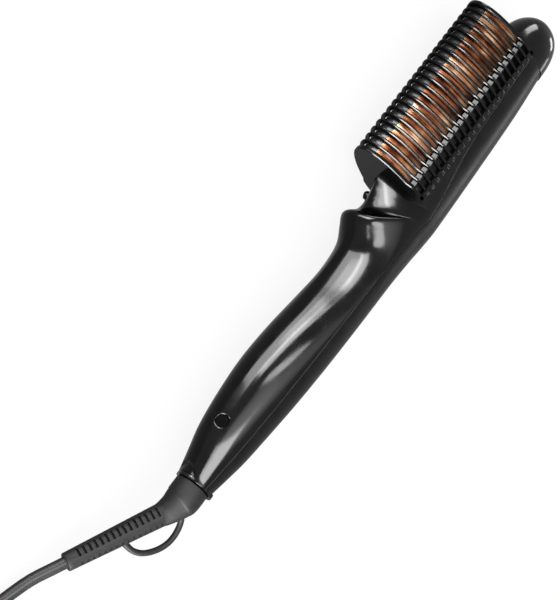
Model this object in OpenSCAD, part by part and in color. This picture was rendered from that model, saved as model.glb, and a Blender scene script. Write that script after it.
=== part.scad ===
// Hair straightening brush lying on its side. Y runs from the cord to the tip, the teeth point
// along -X, +X is the back of the handle and Z is up. The origin is under the middle of the body.
// Most pieces are drawn in the axis frame, whose origin is on the handle's axis at the collar.

/* [Handle] */
// Length from the collar face to the thumb stop
handle_l = 142; // [136:1:150]
// Radius of the handle's end at the collar
handle_end_r = 8.7; // [8.4:0.1:9.2]
// Reach of the palm swell in front of the axis
belly_front = 18.7; // [16:0.1:21]
// Distance of the palm swell from the collar
belly_y = 55; // [50:1:62]
// Reach of the finger waist in front of the axis
waist_front = 11.2; // [10:0.1:14]
// Distance of the finger waist from the collar
waist_y = 115; // [108:1:118]
// Reach of the thumb stop in front of the axis
stop_front = 24; // [21:0.5:26]
// Reach of the handle's back behind the axis
handle_back = 16.6; // [15.5:0.1:18]
// Half the height of the handle as it lies
grip_half = 17; // [16:0.1:17.5]
// Wall of the two body shells
wall = 2; // [1.6:0.1:2.4]

/* [Neck and bar] */
// Length of the neck between thumb stop and comb
neck_l = 21.2; // [19:0.2:24]
// Reach of the neck in front of the axis
neck_front = 20.2; // [18:0.1:22]
// Reach of the bar's back at the neck
bar_back = 19.5; // [18.5:0.1:21]
// Reach of the bar's back at the tip
tip_back = 14.9; // [13.5:0.1:16]
// Half the height of the bar at the tip
tip_half = 14.4; // [14.2:0.1:15]
// Reach of the tip in front of the axis
tip_front = 14; // [12:0.1:15]
// Length of the tip cap past the comb
nose_l = 22.7; // [18:0.1:26]
// Height of the comb seat above the axis
seat_front = 8.6; // [8:0.1:9.2]
// Height of the ledges that carry the guard rails
ledge_front = 6.2; // [5.6:0.1:6.8]
// Half the width of the comb seat
seat_half = 14; // [13.5:0.1:14.1]

/* [Comb] */
// Number of thin fins on each side
fin_count = 21; // [18:1:25]
// Distance from fin to fin
fin_pitch = 4.28; // [3.8:0.02:4.6]
// Thickness of a fin
fin_t = 1.1; // [0.8:0.1:1.4]
// Depth of a fin from rim to inner edge
fin_depth = 2.4; // [2:0.1:3]
// Reach of the comb in front of the axis
comb_front = 40; // [38:0.5:43]
// Half the width of the comb
comb_half = 17; // [16.8:0.1:17.5]
// Reach at which the fins flare into their feet
foot_front = 16; // [15:0.1:18]
// Thickness of the comb's two end plates
end_plate_t = 2; // [1.5:0.1:3]
// Height of the rail faces along the feet
rail_h = 2.2; // [1.8:0.1:2.8]
// Wall between the feet
shoulder_t = 2; // [1.5:0.1:2.2]
// Gap between the two guard halves at their tips
tip_notch = 0.6; // [0.4:0.1:1]

/* [Heater] */
// Thickness of a heating plate
plate_t = 1.2; // [1:0.1:1.6]
// Lowest reach of the heating plates
plate_low = 14.4; // [14.2:0.1:15]
// Highest reach of the heating plates
plate_high = 34.8; // [33:0.1:35.5]
// Gap between the plates and the fins
plate_gap = 0.3; // [0.2:0.05:0.5]
// Thickness of the base plate under the comb
base_t = 2; // [1.6:0.1:2.4]
// Thickness of the heater element
ptc_t = 3.6; // [3:0.1:4.2]
// Depth of the heater element
ptc_h = 15; // [13:0.5:16]
// Thickness of the insulating sheets
sheet_t = 0.4; // [0.3:0.1:0.6]
// Thickness of the pads that press on the heater
pad_t = 2; // [1.5:0.1:2.5]

/* [Button] */
// Distance of the button from the collar
button_y = 26; // [25:0.5:29]
// Turn of the button from the teeth towards the top
button_turn = 40; // [35:1:45]
// Radius of the push button
button_r = 3; // [2.7:0.1:3.3]
// How deep the button's face lies in its ring
button_recess = 0.3; // [0.2:0.1:0.5]
// Travel of the push button
button_travel = 0.8; // [0.5:0.1:1]
// Running clearance of the button in its ring
button_gap = 0.1; // [0.05:0.05:0.15]
// Width of the ring round the button
bezel_w = 0.7; // [0.5:0.1:1]
// Length of the ring round the button
bezel_l = 3.6; // [3.2:0.1:4]

/* [Swivel and boot] */
// Radius of the swivel stem
stem_r = 5; // [4.8:0.1:5.2]
// Running clearance of the stem in its socket
stem_gap = 0.06; // [0.04:0.01:0.1]
// Width of the collar in front of the handle
collar_w = 2; // [1.5:0.1:3]
// Thickness of the bright ring on the collar
ring_t = 0.9; // [0.6:0.1:1.2]
// Length of the socket's spigot in the handle
spigot_l = 7; // [6:0.5:7.5]
// Width of the flange that keeps the stem in
flange_t = 1.5; // [1.2:0.1:2]
// Gap between the collar and the boot
swivel_gap = 0.3; // [0.2:0.05:0.4]
// Radius of the stem's contact end
contact_r = 3.4; // [3.2:0.1:3.6]
// Radius of the boot at the collar
boot_r = 8.1; // [7.5:0.1:8.4]
// Radius of the strain relief at its root
relief_root_r = 5.2; // [5:0.1:5.6]
// Radius of the strain relief at its end
relief_end_r = 4.2; // [4:0.1:4.5]
// Number of slots along the strain relief
slot_count = 15; // [12:1:15]
// Distance from slot to slot
slot_pitch = 2.75; // [2.4:0.05:2.75]
// Width of a slot
slot_w = 1.2; // [0.8:0.1:1.4]
// Length of a slot
slot_l = 4; // [3:0.1:4.5]
// Depth of a slot
slot_d = 1.2; // [0.8:0.1:1.3]
// Radius of the hanging loop's round stock
loop_stock_r = 1.4; // [1.2:0.1:1.6]

/* [Cord] */
// Diameter of the mains cord
cord_d = 5.4; // [5:0.1:5.5]
// Length of a straight run of the hank
hank_run = 84; // [82:1:96]
// Inner fold radius of the hank
hank_r = 16.4; // [16.2:0.1:18]
// Step from loop to loop of the hank
hank_step = 6.3; // [6.3:0.1:6.8]
// Step from layer to layer of the hank
hank_rise = 5.9; // [5.9:0.1:6.2]
// How far the tie draws the hank in at its waist
hank_draw = 7; // [5:0.5:8]
// Thickness of the tie's band
tie_t = 0.8; // [0.6:0.1:1]
// Width of the tie's band
tie_w = 8; // [6:0.5:12]
// Width of the plug
plug_w = 26; // [24:0.5:28]
// Length of the plug's body
plug_l = 30; // [27:1:34]
// Thickness of the plug's body
plug_t = 17; // [15:0.5:19]
// Length of the plug's two blades
blade_l = 16; // [15:0.5:18]
// Width of a blade
blade_w = 6.3; // [6:0.1:6.6]
// Thickness of a blade
blade_t = 1.5; // [1.4:0.1:1.6]
// Distance between the two blades
blade_spacing = 12.7; // [12:0.1:13.5]

/* [Inside] */
// Length of the control board
board_l = 62; // [50:1:64]
// Width of the control board
board_w = 16; // [15:0.5:16.5]
// Thickness of the control board
board_t = 1.6; // [1.2:0.1:1.8]
// Height of the small switch under the button
switch_h = 3.4; // [3:0.1:3.6]
// Radius of the posts under the board
post_r = 2; // [1.6:0.1:2.4]
// Radius of the screw shanks
screw_r = 1.3; // [1.1:0.1:1.4]
// Radius of the screw heads
head_r = 2.6; // [2.3:0.1:2.8]
// Thickness of the screw heads
head_t = 1.6; // [1.2:0.1:1.8]
// Wall of the screw bosses
boss_wall = 1.6; // [1.4:0.1:1.8]
// Radius of the internal wires
wire_r = 0.9; // [0.7:0.1:1]
// Radius of the capacitor
capacitor_r = 3.2; // [2.8:0.1:3.5]

/* [Hidden] */
$fn = 48;
eps = 0.01;
// Clearance between pieces that are fitted together
fit = 0.1;

// Places along the axis
comb_y0 = handle_l + neck_l;
comb_l = (fin_count + 1) * fin_pitch + end_plate_t;
comb_y1 = comb_y0 + comb_l;
tip_y = comb_y1 + nose_l;
boot_y = -collar_w - swivel_gap;
stack_y0 = comb_y0 + end_plate_t;
stack_l = comb_l - 2 * end_plate_t;

// The axis frame's origin in the part's own frame
axis_x = (comb_front - bar_back) / 2;
axis_y = (collar_w - tip_y) / 2;
axis_z = max(grip_half, comb_half);
floor_z = -axis_z;

// Stations of the handle and neck: distance, front, back, half height, roundness of the front
stations = [
    [0, handle_end_r, handle_end_r, handle_end_r, 2],
    [10, handle_end_r + 3.3, 10.9, 10.4, 2],
    [22, 15.2, 12.5, 12.0, 2],
    [36, 17.4, 13.8, 13.4, 2],
    [belly_y, belly_front, 15.1, 14.9, 2],
    [75, 17.2, 16.1, 16.0, 2],
    [95, 13.8, handle_back - 0.1, grip_half - 0.4, 2],
    [waist_y - 6, waist_front + 0.1, handle_back, grip_half - 0.1, 2],
    [waist_y + 5, waist_front, handle_back, grip_half, 2],
    [handle_l - 12, 13.9, handle_back + 0.2, grip_half, 2],
    [handle_l - 5, 19.8, handle_back + 0.6, grip_half, 2],
    [handle_l, stop_front, handle_back + 1.2, grip_half, 2],
    [handle_l + 4, stop_front - 0.8, handle_back + 1.8, grip_half, 1.7],
    [handle_l + 8, neck_front, bar_back - 0.6, grip_half, 1.3],
    [handle_l + 14, neck_front + 0.3, bar_back - 0.2, grip_half, 1.2],
    [comb_y0, neck_front + 2.2, bar_back, grip_half, 1.2]
];

function last_before(y, i = 0) =
    i >= len(stations) - 2 || stations[i + 1][0] >= y ? i : last_before(y, i + 1);
function slope(i, k) =
    let (a = max(i - 1, 0), b = min(i + 1, len(stations) - 1))
    (stations[b][k] - stations[a][k]) / (stations[b][0] - stations[a][0]);
// Smooth curve through column k of the stations
function along(y, k) =
    let (i = last_before(y), a = stations[i], b = stations[i + 1], d = b[0] - a[0], u = (y - a[0]) / d)
    a[k] * (1 + 2 * u) * pow(1 - u, 2) + b[k] * u * u * (3 - 2 * u)
    + d * u * (1 - u) * (slope(i, k) * (1 - u) - slope(i + 1, k) * u);
function row_at(y) = [y, along(y, 1), along(y, 2), along(y, 3), along(y, 4)];
function bar_row(y) =
    let (u = (y - comb_y0) / comb_l)
    [y, seat_front, bar_back + (tip_back - bar_back) * u, grip_half + (tip_half - grip_half) * u, 2];

// Rows along the handle, with the spacing that each stretch needs
neck_start = handle_l - 14;
neck_end = comb_y0 - wall;
handle_rows = [
    for (i = [0 : 22]) row_at(neck_start * i / 22),
    for (i = [1 : 14]) row_at(neck_start + (neck_end - eps - neck_start) * i / 14)
];
bar_steps = 4;
bar_rows = [for (i = [0 : bar_steps]) bar_row(comb_y0 + comb_l * i / bar_steps)];

// One half of a section, from the lower side over the front or the back to the upper side
half_steps = 14;
function half_section(row, inset, front) =
    let (r = row[front ? 1 : 2] - inset, h = row[3] - inset, e = front ? 2 / row[4] : 1, s = front ? -1 : 1)
    [for (i = [0 : half_steps])
        let (a = -90 + 180 * i / half_steps)
        [s * r * pow(max(cos(a), 0), e), row[0], h * sign(sin(a)) * pow(abs(sin(a)), e)]];
// The same with the seat and the two ledges that carry the comb
function seat_section(row, inset) =
    let (h = row[3] - inset, k = seat_half - inset, s = seat_front - inset, l = ledge_front - inset, y = row[0])
    [[0, y, -h], [-l / 3, y, -h], [-2 * l / 3, y, -h], [-l, y, -h], [-l, y, -k],
     [-s, y, -k], [-s, y, -k / 2], [-s, y, 0], [-s, y, k / 2], [-s, y, k],
     [-l, y, k], [-l, y, h], [-2 * l / 3, y, h], [-l / 3, y, h], [0, y, h]];
function moved_to(points, y) = [for (p = points) [p[0], y, p[2]]];
function reversed(v) = [for (i = [len(v) - 1 : -1 : 0]) v[i]];
function whole_section(row, inset) =
    let (back = half_section(row, inset, false))
    concat(half_section(row, inset, true), [for (i = [half_steps - 1 : -1 : 1]) back[i]]);

// A closed solid through rings of equal length. Each end face is a strip of triangles, so a ring
// may also be a wall's outline, its outer half followed by its inner half.
module skin(rings, flip = false) {
    n = len(rings[0]);
    m = len(rings);
    points = [for (r = rings) each r];
    sides = [for (j = [0 : m - 2]) for (i = [0 : n - 1])
        let (a = j * n + i, b = j * n + (i + 1) % n)
        each [[a, b + n, b], [a, a + n, b + n]]];
    half = floor(n / 2);
    cap = [for (i = [0 : half - 1])
        each [[i, i + 1, n - 1 - i], if (i + 1 < n - 2 - i) [i + 1, n - 2 - i, n - 1 - i]]];
    last = [for (f = cap) [f[2], f[1], f[0]] + (m - 1) * n * [1, 1, 1]];
    faces = concat(cap, sides, last);
    polyhedron(points, [for (f = faces) flip ? [f[2], f[1], f[0]] : f], convexity = 8);
}

// Tubes: rings square to a path, with a radius for each point
function unit(v) = v / norm(v);
function heading(path, i) = unit(path[min(i + 1, len(path) - 1)] - path[max(i - 1, 0)]);
function tube_ring(p, t, r, sides) =
    let (n = unit(cross(t, [0, 0, 1])), b = cross(n, t))
    [for (k = [0 : sides - 1]) p + r * (cos(360 * k / sides) * n + sin(360 * k / sides) * b)];
module tube(path, radii, sides) {
    skin([for (i = [0 : len(path) - 1]) tube_ring(path[i], heading(path, i), radii[i], sides)], true);
}
// Turns +Z to point along v
module point_along(v) {
    rotate([0, acos(v[2] / norm(v)), atan2(v[1], v[0])]) children();
}

module in_part_frame() {
    translate([axis_x, axis_y, axis_z]) children();
}
// An outline in reach and height, drawn along the axis from y for a length
module along_axis(y, length) {
    translate([0, y + length, 0])
        rotate([90, 0, 0]) mirror([1, 0, 0]) linear_extrude(length) children();
}
// A round bar along the axis, and one across it that points to the teeth
module axis_rod(y, length, r) {
    translate([0, y, 0]) rotate([-90, 0, 0]) cylinder(h = length, r = r);
}
module cross_rod(y, from, to, r, z = 0) {
    translate([-from, y, z]) rotate([0, -90, 0]) cylinder(h = to - from, r = r);
}

// Screws that join the two shells
shell_screw_ys = [92, handle_l + 10];
front_boss_r = screw_r + fit + boss_wall;
back_boss_r = head_r + fit + boss_wall;
screw_bite = 6;
head_depth = 3.4;
function head_seat(y) = -along(y, 2) + head_depth;

// The button's frame: its origin is on the handle's surface and +Z points out of it
button_row = row_at(button_y);
button_depth = norm([button_row[1] * cos(button_turn), button_row[3] * sin(button_turn)]);
button_x = pow(button_row[1], 2) * cos(button_turn) / button_depth;
button_z = pow(button_row[3], 2) * sin(button_turn) / button_depth;
button_side = button_x * sin(button_turn) - button_z * cos(button_turn);
module in_button_frame(y = button_y) {
    translate([-button_x, y, button_z]) rotate([0, button_turn - 90, 0]) children();
}
bezel_top = 0.15;
button_flange_t = 1;
button_flange_r = button_r + bezel_w + 0.2;
button_foot = bezel_l + fit;
plunger_end = button_foot + button_flange_t + 1.2;
actuator_h = 1;
board_top = plunger_end + button_travel + fit + actuator_h + switch_h;
board_y0 = 20;
board_y1 = board_y0 + board_l;
post_ys = [board_y0 + 18, board_y1 - 10];
// Distance from the axis to the middle of the back wall, straight behind the button
function post_reach(y) =
    1 / norm([cos(button_turn) / along(y, 2), sin(button_turn) / along(y, 3)]) - wall / 2;

module front_shell() {
    neck = row_at(comb_y0);
    outer_neck = half_section(neck, 0, true);
    first_bar = bar_rows[0];
    rings = [
        for (r = handle_rows) concat(half_section(r, 0, true), reversed(half_section(r, wall, true))),
        concat(moved_to(outer_neck, neck_end), reversed(moved_to(seat_section(first_bar, wall), neck_end))),
        concat(outer_neck, reversed(seat_section(first_bar, wall))),
        for (r = bar_rows)
            let (y = r[0] + (r[0] == comb_y0 ? eps : 0))
            concat(moved_to(seat_section(r, 0), y), reversed(moved_to(seat_section(r, wall), y)))
    ];
    color("#141414") in_part_frame() difference() {
        union() {
            skin(rings);
            for (y = shell_screw_ys) cross_rod(y, 0, along(y, 1) - wall / 2, front_boss_r);
        }
        for (y = shell_screw_ys) cross_rod(y, -eps, screw_bite + fit, screw_r + fit / 2);
        in_button_frame() translate([0, 0, -2 * wall]) cylinder(h = 4 * wall, r = button_r + bezel_w + fit / 2);
        for (y = comb_screw_ys) cross_rod(y, seat_front - wall - 1, seat_front + 1, screw_r + fit / 2);
        for (z = [-wire_z, wire_z]) cross_rod(wire_turn_y, seat_front - wall - 1, seat_front + 1, wire_r + fit, z);
    }
}

module back_shell() {
    rows = concat(handle_rows, bar_rows);
    rings = [for (r = rows) concat(half_section(r, 0, false), reversed(half_section(r, wall, false)))];
    color("#101010") in_part_frame() difference() {
        union() {
            skin(rings, true);
            for (y = shell_screw_ys) cross_rod(y, head_seat(y) - wall, 0, back_boss_r);
            for (y = post_ys) in_button_frame(y) translate([button_side, 0, -button_depth - post_reach(y)])
                cylinder(h = post_reach(y) + button_depth - board_top - board_t, r = post_r);
        }
        for (y = shell_screw_ys) {
            cross_rod(y, -along(y, 2), eps, screw_r + fit / 2);
            cross_rod(y, -along(y, 2) - wall, head_seat(y), head_r + fit);
        }
    }
}

module tip_cap() {
    steps = 8;
    // Share of the full size at a share u of the cap's length
    function size(u) = pow(1 - pow(u, 2.6), 1 / 2.3);
    function cap_row(u, length, inset, least) =
        let (k = max(size(u), least), shoulder = min(1, 0.86 + u * 1.2))
        [comb_y1 + length * u, (tip_front - inset) * k * shoulder,
         (tip_back - inset) * k, (tip_half - inset) * k, 2.2];
    outer = [for (i = [0 : steps]) whole_section(cap_row(sin(90 * i / steps), nose_l, 0, 0.06), 0)];
    inner = [for (i = [0 : steps]) whole_section(cap_row(sin(90 * i / steps), nose_l - wall, wall, 0.06), 0)];
    color("#161616") in_part_frame() skin(concat(reversed(inner), outer));
}

// Guard halves: thin fins on a rail, closed by an end plate at each end
outer_points = 14;
function on_ellipse(front, half, q) = half * sqrt(max(1 - pow(q / front, 2), 0));
// Points on an ellipse from reach q0 to where it comes within z of the middle plane
function ellipse_arc(front, half, q0, z, n = outer_points) =
    let (a0 = acos(q0 / front), a1 = asin(z / half))
    [for (i = [0 : n]) let (a = a0 + (a1 - a0) * i / n) [front * cos(a), half * sin(a)]];
valley_front = foot_front + 1;
inner_front = comb_front - fin_depth;
inner_half = comb_half - fin_depth;
shoulder_half = comb_half - fin_depth - 1.2;
module fin_outline() {
    polygon(concat(
        [[ledge_front + 1, shoulder_half + shoulder_t / 2], [ledge_front + 1, comb_half], [foot_front, comb_half]],
        ellipse_arc(comb_front, comb_half, valley_front, tip_notch / 2),
        reversed(ellipse_arc(inner_front, inner_half, plate_low, tip_notch / 2)),
        [[plate_low, shoulder_half + shoulder_t / 2]]));
}
module end_plate_outline() {
    polygon(concat(
        [[seat_front, 0], [seat_front, seat_half + fit], [ledge_front, seat_half + fit], [ledge_front, comb_half],
         [foot_front, comb_half]],
        ellipse_arc(comb_front, comb_half, valley_front, 0)));
}
module rail_outline() {
    polygon([[ledge_front, seat_half + fit], [ledge_front, comb_half], [ledge_front + rail_h, comb_half],
        [ledge_front + rail_h, shoulder_half + shoulder_t], [plate_low - fit, shoulder_half + shoulder_t],
        [plate_low - fit, shoulder_half], [seat_front, shoulder_half], [seat_front, seat_half + fit]]);
}
module guard_half() {
    along_axis(comb_y0, comb_l) rail_outline();
    along_axis(comb_y0, end_plate_t) end_plate_outline();
    along_axis(comb_y1 - end_plate_t, end_plate_t) end_plate_outline();
    for (i = [1 : fin_count])
        along_axis(comb_y0 + end_plate_t / 2 + i * fin_pitch - fin_t / 2, fin_t) fin_outline();
}
module comb_guard_upper() { color("#0c0c0c") in_part_frame() guard_half(); }
module comb_guard_lower() { color("#0c0c0c") in_part_frame() mirror([0, 0, 1]) guard_half(); }

// Heater stack between the end plates
plate_front = inner_front - plate_gap;
plate_half = inner_half - plate_gap;
pad_z = ptc_t / 2 + sheet_t;
pad_low = plate_low + 1.6;
pad_high = plate_low + ptc_h;
web_t = 1.4;
base_half = shoulder_half - fit;
base_top = seat_front + base_t;
screw_tip = plate_low - 0.8;
comb_screw_ys = [stack_y0 + 14, stack_y0 + stack_l / 2, stack_y0 + stack_l - 14];
wire_turn_y = stack_y0 + 6;
wire_z = back_boss_r + wire_r + 0.4;

module heating_plate() {
    module box(q0, q1, z0, z1) {
        translate([q0, z0]) square([q1 - q0, z1 - z0]);
    }
    along_axis(stack_y0, stack_l) {
        polygon(concat(
            ellipse_arc(plate_front, plate_half, plate_low, on_ellipse(plate_front, plate_half, plate_high)),
            reversed(ellipse_arc(plate_front - plate_t, plate_half - plate_t, plate_low,
                on_ellipse(plate_front - plate_t, plate_half - plate_t, plate_high)))));
        box(pad_low, pad_high, pad_z, pad_z + pad_t);
        for (q = [pad_low + 3, pad_high - web_t])
            box(q, q + web_t, pad_z + eps, on_ellipse(plate_front, plate_half, q + web_t) - plate_t / 2);
    }
}
module heating_plate_upper() { color("#b0602c") in_part_frame() heating_plate(); }
module heating_plate_lower() { color("#b0602c") in_part_frame() mirror([0, 0, 1]) heating_plate(); }

module ridge_strip() {
    top_z = on_ellipse(plate_front, plate_half, plate_high);
    arc = ellipse_arc(plate_front, plate_half, plate_high, 0, 6);
    color("#2a2a2a") in_part_frame() along_axis(stack_y0, stack_l)
        polygon(concat(arc, [for (p = reversed(arc)) if (p[1] > eps) [p[0], -p[1]]]));
}

module comb_base() {
    color("#1c1c1c") in_part_frame() difference() {
        along_axis(stack_y0, stack_l) translate([seat_front, -base_half]) square([base_t, 2 * base_half]);
        for (y = comb_screw_ys) cross_rod(y, seat_front - 1, base_top + 1, screw_r + fit / 2);
        for (z = [-wire_z, wire_z]) cross_rod(wire_turn_y, seat_front - 1, base_top + 1, wire_r + fit, z);
    }
}

module heater_carrier() {
    color("#e8e2d2") in_part_frame() difference() {
        along_axis(stack_y0, stack_l) translate([base_top, -base_half]) square([plate_low - base_top, 2 * base_half]);
        for (y = comb_screw_ys) cross_rod(y, base_top - 1, screw_tip + fit, screw_r + fit / 2);
        for (z = [-wire_z, wire_z]) cross_rod(wire_turn_y, base_top - 1, plate_low + 1, wire_r + fit, z);
    }
}

ptc_count = 4;
ptc_gap = 2;
ptc_l = (stack_l - 2 * ptc_gap - (ptc_count - 1) * ptc_gap) / ptc_count;
module ptc_heaters() {
    color("#5a5a60") in_part_frame() for (i = [0 : ptc_count - 1])
        along_axis(stack_y0 + ptc_gap + i * (ptc_l + ptc_gap), ptc_l)
            translate([plate_low, -ptc_t / 2]) square([ptc_h, ptc_t]);
}
module insulation_sheets() {
    color("#d9b36a") in_part_frame() for (s = [-1, 1])
        along_axis(stack_y0 + ptc_gap / 2, stack_l - ptc_gap)
            translate([plate_low, s * (ptc_t + sheet_t) / 2 - sheet_t / 2]) square([ptc_h + 1, sheet_t]);
}
sensor_front = plate_low + 8;
sensor_r = 1.2;
fuse_r = 1.6;
module thermistor() {
    color("#30343c") in_part_frame()
        translate([-sensor_front, 0, pad_z + pad_t + sensor_r + fit / 2]) axis_rod(stack_y0 + 40, 6, sensor_r);
}
module thermal_fuse() {
    color("#c9c2ae") in_part_frame()
        translate([-sensor_front, 0, -pad_z - pad_t - fuse_r - fit / 2]) axis_rod(stack_y0 + 30, 12, fuse_r);
}

module power_button() {
    color("#1a1a1a") in_part_frame() in_button_frame() {
        translate([0, 0, -button_foot]) cylinder(h = button_foot - button_recess, r = button_r);
        translate([0, 0, -button_foot - button_flange_t]) cylinder(h = button_flange_t, r = button_flange_r);
        translate([0, 0, -plunger_end]) cylinder(h = plunger_end - button_foot - button_flange_t, r = 1.2);
    }
}
module button_bezel() {
    color("#202020") in_part_frame() in_button_frame() difference() {
        translate([0, 0, -bezel_l]) cylinder(h = bezel_l + bezel_top, r = button_r + bezel_w);
        translate([0, 0, -bezel_l - 1]) cylinder(h = bezel_l + bezel_top + 2, r = button_r + button_gap);
    }
}

// Places on the board's upper face
module on_board(y, side) {
    in_button_frame(y) translate([side, 0, -board_top]) children();
}
module control_board() {
    color("#1f5b38") in_part_frame() on_board(board_y0, button_side)
        translate([-board_w / 2, 0, -board_t]) cube([board_w, board_l, board_t]);
}
switch_w = 6;
module tact_switch() {
    color("#303030") in_part_frame() on_board(button_y, 0) {
        translate([-switch_w / 2, -switch_w / 2, 0]) cube([switch_w, switch_w, switch_h]);
        translate([0, 0, switch_h]) cylinder(h = actuator_h, r = 1.6);
    }
}
module control_chip() {
    color("#222222") in_part_frame() on_board(board_y0 + 22, button_side)
        translate([-2.5, 0, 0]) cube([5, 6, 1.6]);
}
module triac() {
    color("#26262a") in_part_frame() on_board(board_y0 + 34, button_side)
        translate([-5, 0, 0]) cube([10, 9, 4.4]);
}
module capacitor() {
    color("#2b3d66") in_part_frame() on_board(board_y0 + 47, button_side)
        translate([0, 0, capacitor_r]) rotate([-90, 0, 0]) cylinder(h = 11, r = capacitor_r);
}

module shell_screws() {
    color("#8a8d90") in_part_frame() for (y = shell_screw_ys) {
        cross_rod(y, head_seat(y) - head_t, head_seat(y), head_r);
        cross_rod(y, head_seat(y) - eps, screw_bite, screw_r);
    }
}
module comb_screws() {
    seat_inside = seat_front - wall;
    color("#8a8d90") in_part_frame() for (y = comb_screw_ys) {
        cross_rod(y, seat_inside - head_t, seat_inside, head_r);
        cross_rod(y, seat_inside - eps, screw_tip, screw_r);
    }
}

// Swivel: the socket is fixed in the handle and the stem turns in it
bore_r = stem_r + stem_gap;
flange_r = handle_end_r - wall - fit;
stem_back = spigot_l + fit;
contact_l = 6.4;
module swivel_socket() {
    color("#1b1b1b") in_part_frame() difference() {
        union() {
            axis_rod(-collar_w, collar_w, handle_end_r - ring_t - fit / 2);
            axis_rod(-eps, spigot_l + eps, flange_r);
        }
        axis_rod(-collar_w - 1, collar_w + spigot_l + 2, bore_r);
    }
}
module collar_ring() {
    color("#c8cacc") in_part_frame() difference() {
        axis_rod(-collar_w, collar_w, handle_end_r);
        axis_rod(-collar_w - 1, collar_w + 2, handle_end_r - ring_t);
    }
}
stem_root = 8;
module swivel_stem() {
    color("#2a2a2a") in_part_frame() {
        axis_rod(-stem_root, stem_root + stem_back + eps, stem_r);
        axis_rod(stem_back, flange_t, flange_r);
        axis_rod(stem_back + flange_t - eps, contact_l, contact_r);
    }
}
ring_w = 1.4;
ring_wall = 0.6;
ring_ys = [stem_back + flange_t + 1.2, stem_back + flange_t + 4.2];
module contact_rings() {
    color("#c9a24a") in_part_frame() for (y = ring_ys) difference() {
        axis_rod(y, ring_w, contact_r + fit / 2 + ring_wall);
        axis_rod(y - 1, ring_w + 2, contact_r + fit / 2);
    }
}
holder_r = along(stem_back + flange_t, 2) - wall - 0.4;
brush_inner = contact_r + ring_wall + 0.3;
brush_outer = brush_inner + 0.9;
holder_bore_r = norm([brush_outer, ring_w / 2]) + fit / 4;
holder_y = stem_back + flange_t + 0.5;
module contact_holder() {
    color("#ece8da") in_part_frame() difference() {
        axis_rod(holder_y, contact_l, holder_r);
        axis_rod(holder_y - 1, contact_l + 2, holder_bore_r);
    }
}
module contact_brushes() {
    color("#c9a24a") in_part_frame() for (y = ring_ys) for (s = [-1, 1])
        translate([-ring_w / 2, y, s > 0 ? brush_inner : -brush_outer])
            cube([ring_w, ring_w, brush_outer - brush_inner]);
}

module internal_wires() {
    holder_end = holder_y + contact_l;
    board_up = button_depth - board_top - board_t / 2;
    wire_level = 1;
    color("#b03a2e") in_part_frame() {
        for (side = [-6, 5])
            translate([-board_up * cos(button_turn) + side * sin(button_turn), 0,
                board_up * sin(button_turn) + side * cos(button_turn)])
                axis_rod(holder_end + fit, board_y0 - holder_end - 2 * fit, wire_r);
        for (z = [-wire_z, wire_z]) {
            translate([-wire_level, 0, z]) axis_rod(board_y1 + fit, wire_turn_y - board_y1 - fit, wire_r);
            translate([-wire_level, wire_turn_y, z]) sphere(r = wire_r);
            cross_rod(wire_turn_y, wire_level, plate_low + 1.4, wire_r, z);
        }
    }
}

// Boot and strain relief, which turn with the cord
relief_start = [-3, -21, -2];
relief_end = [-22.4, -62.4, -9];
relief_l = norm(relief_end - relief_start);
boot_path = [
    [0, boot_y, 0], [0, -9, 0], [-0.3, -12, -0.4], [-1, -15.4, -0.9],
    relief_start - 2.4 * unit(relief_end - relief_start), relief_start
];
boot_radii = [boot_r, boot_r, boot_r - 0.6, boot_r - 1.6, relief_root_r + 0.5, relief_root_r];
loop_ends = [[4.6, -12.6, -2], [-9.6, -39.4, -5]];
loop_path = [
    loop_ends[0], [6.8, -14.6, -2.1], [9, -17.6, -2.4], [10.4, -21.8, -2.8], [10.6, -26.2, -3.2], [9.3, -30.6, -3.6],
    [6.6, -34.8, -4], [3.2, -38, -4.4], [-1, -39.8, -4.7], [-5.4, -40, -4.9], loop_ends[1]
];
module loop_sockets() {
    for (e = [[loop_path[1], loop_path[0]], [loop_path[len(loop_path) - 2], loop_path[len(loop_path) - 1]]])
        translate(e[0]) point_along(e[1] - e[0]) cylinder(h = norm(e[1] - e[0]) + fit, r = loop_stock_r + fit);
}
module cord_boot() {
    color("#3c3c3e") in_part_frame() difference() {
        tube(boot_path, boot_radii, 16);
        axis_rod(-stem_root - fit, stem_root + fit, stem_r + fit / 2);
        loop_sockets();
    }
}
module strain_relief() {
    first_slot = relief_l - 4 - slot_count * slot_pitch;
    color("#3c3c3e") in_part_frame() difference() {
        translate(relief_start) point_along(relief_end - relief_start) difference() {
            cylinder(h = relief_l, r1 = relief_root_r, r2 = relief_end_r);
            for (i = [0 : slot_count - 1]) for (turn = [0 : 90 : 270])
                rotate(turn) translate([relief_end_r - slot_d + (relief_root_r - relief_end_r) * (1 - i / slot_count),
                    -slot_l / 2, first_slot + i * slot_pitch])
                    cube([2 * slot_d, slot_l, slot_w]);
        }
        loop_sockets();
    }
}
module hang_loop() {
    color("#3c3c3e") in_part_frame() tube(loop_path, [for (p = loop_path) loop_stock_r], 10);
}

// Hank of spare cord: one tube in two layers, which spirals in, climbs along a run and spirals out
loops = 5;
loop_rings = 24;
fold_rings = 8;
run_rings = 4;
turn_back = 2.5 + run_rings / loop_rings / 2;
hank_x = -5;
hank_y = -181;
cord_r = cord_d / 2;
lower_z = floor_z + tie_t + fit + cord_r;
function fold_r(s) = hank_r + hank_step * abs(s - turn_back);
// How far the waist draws a run in, at y from the middle of the hank
function drawn(y) = hank_draw * (1 + cos(360 * y / hank_run)) / 2;
function climbed(s) = min(max((s - 2.5) * loop_rings / run_rings, 0), 1);
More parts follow.
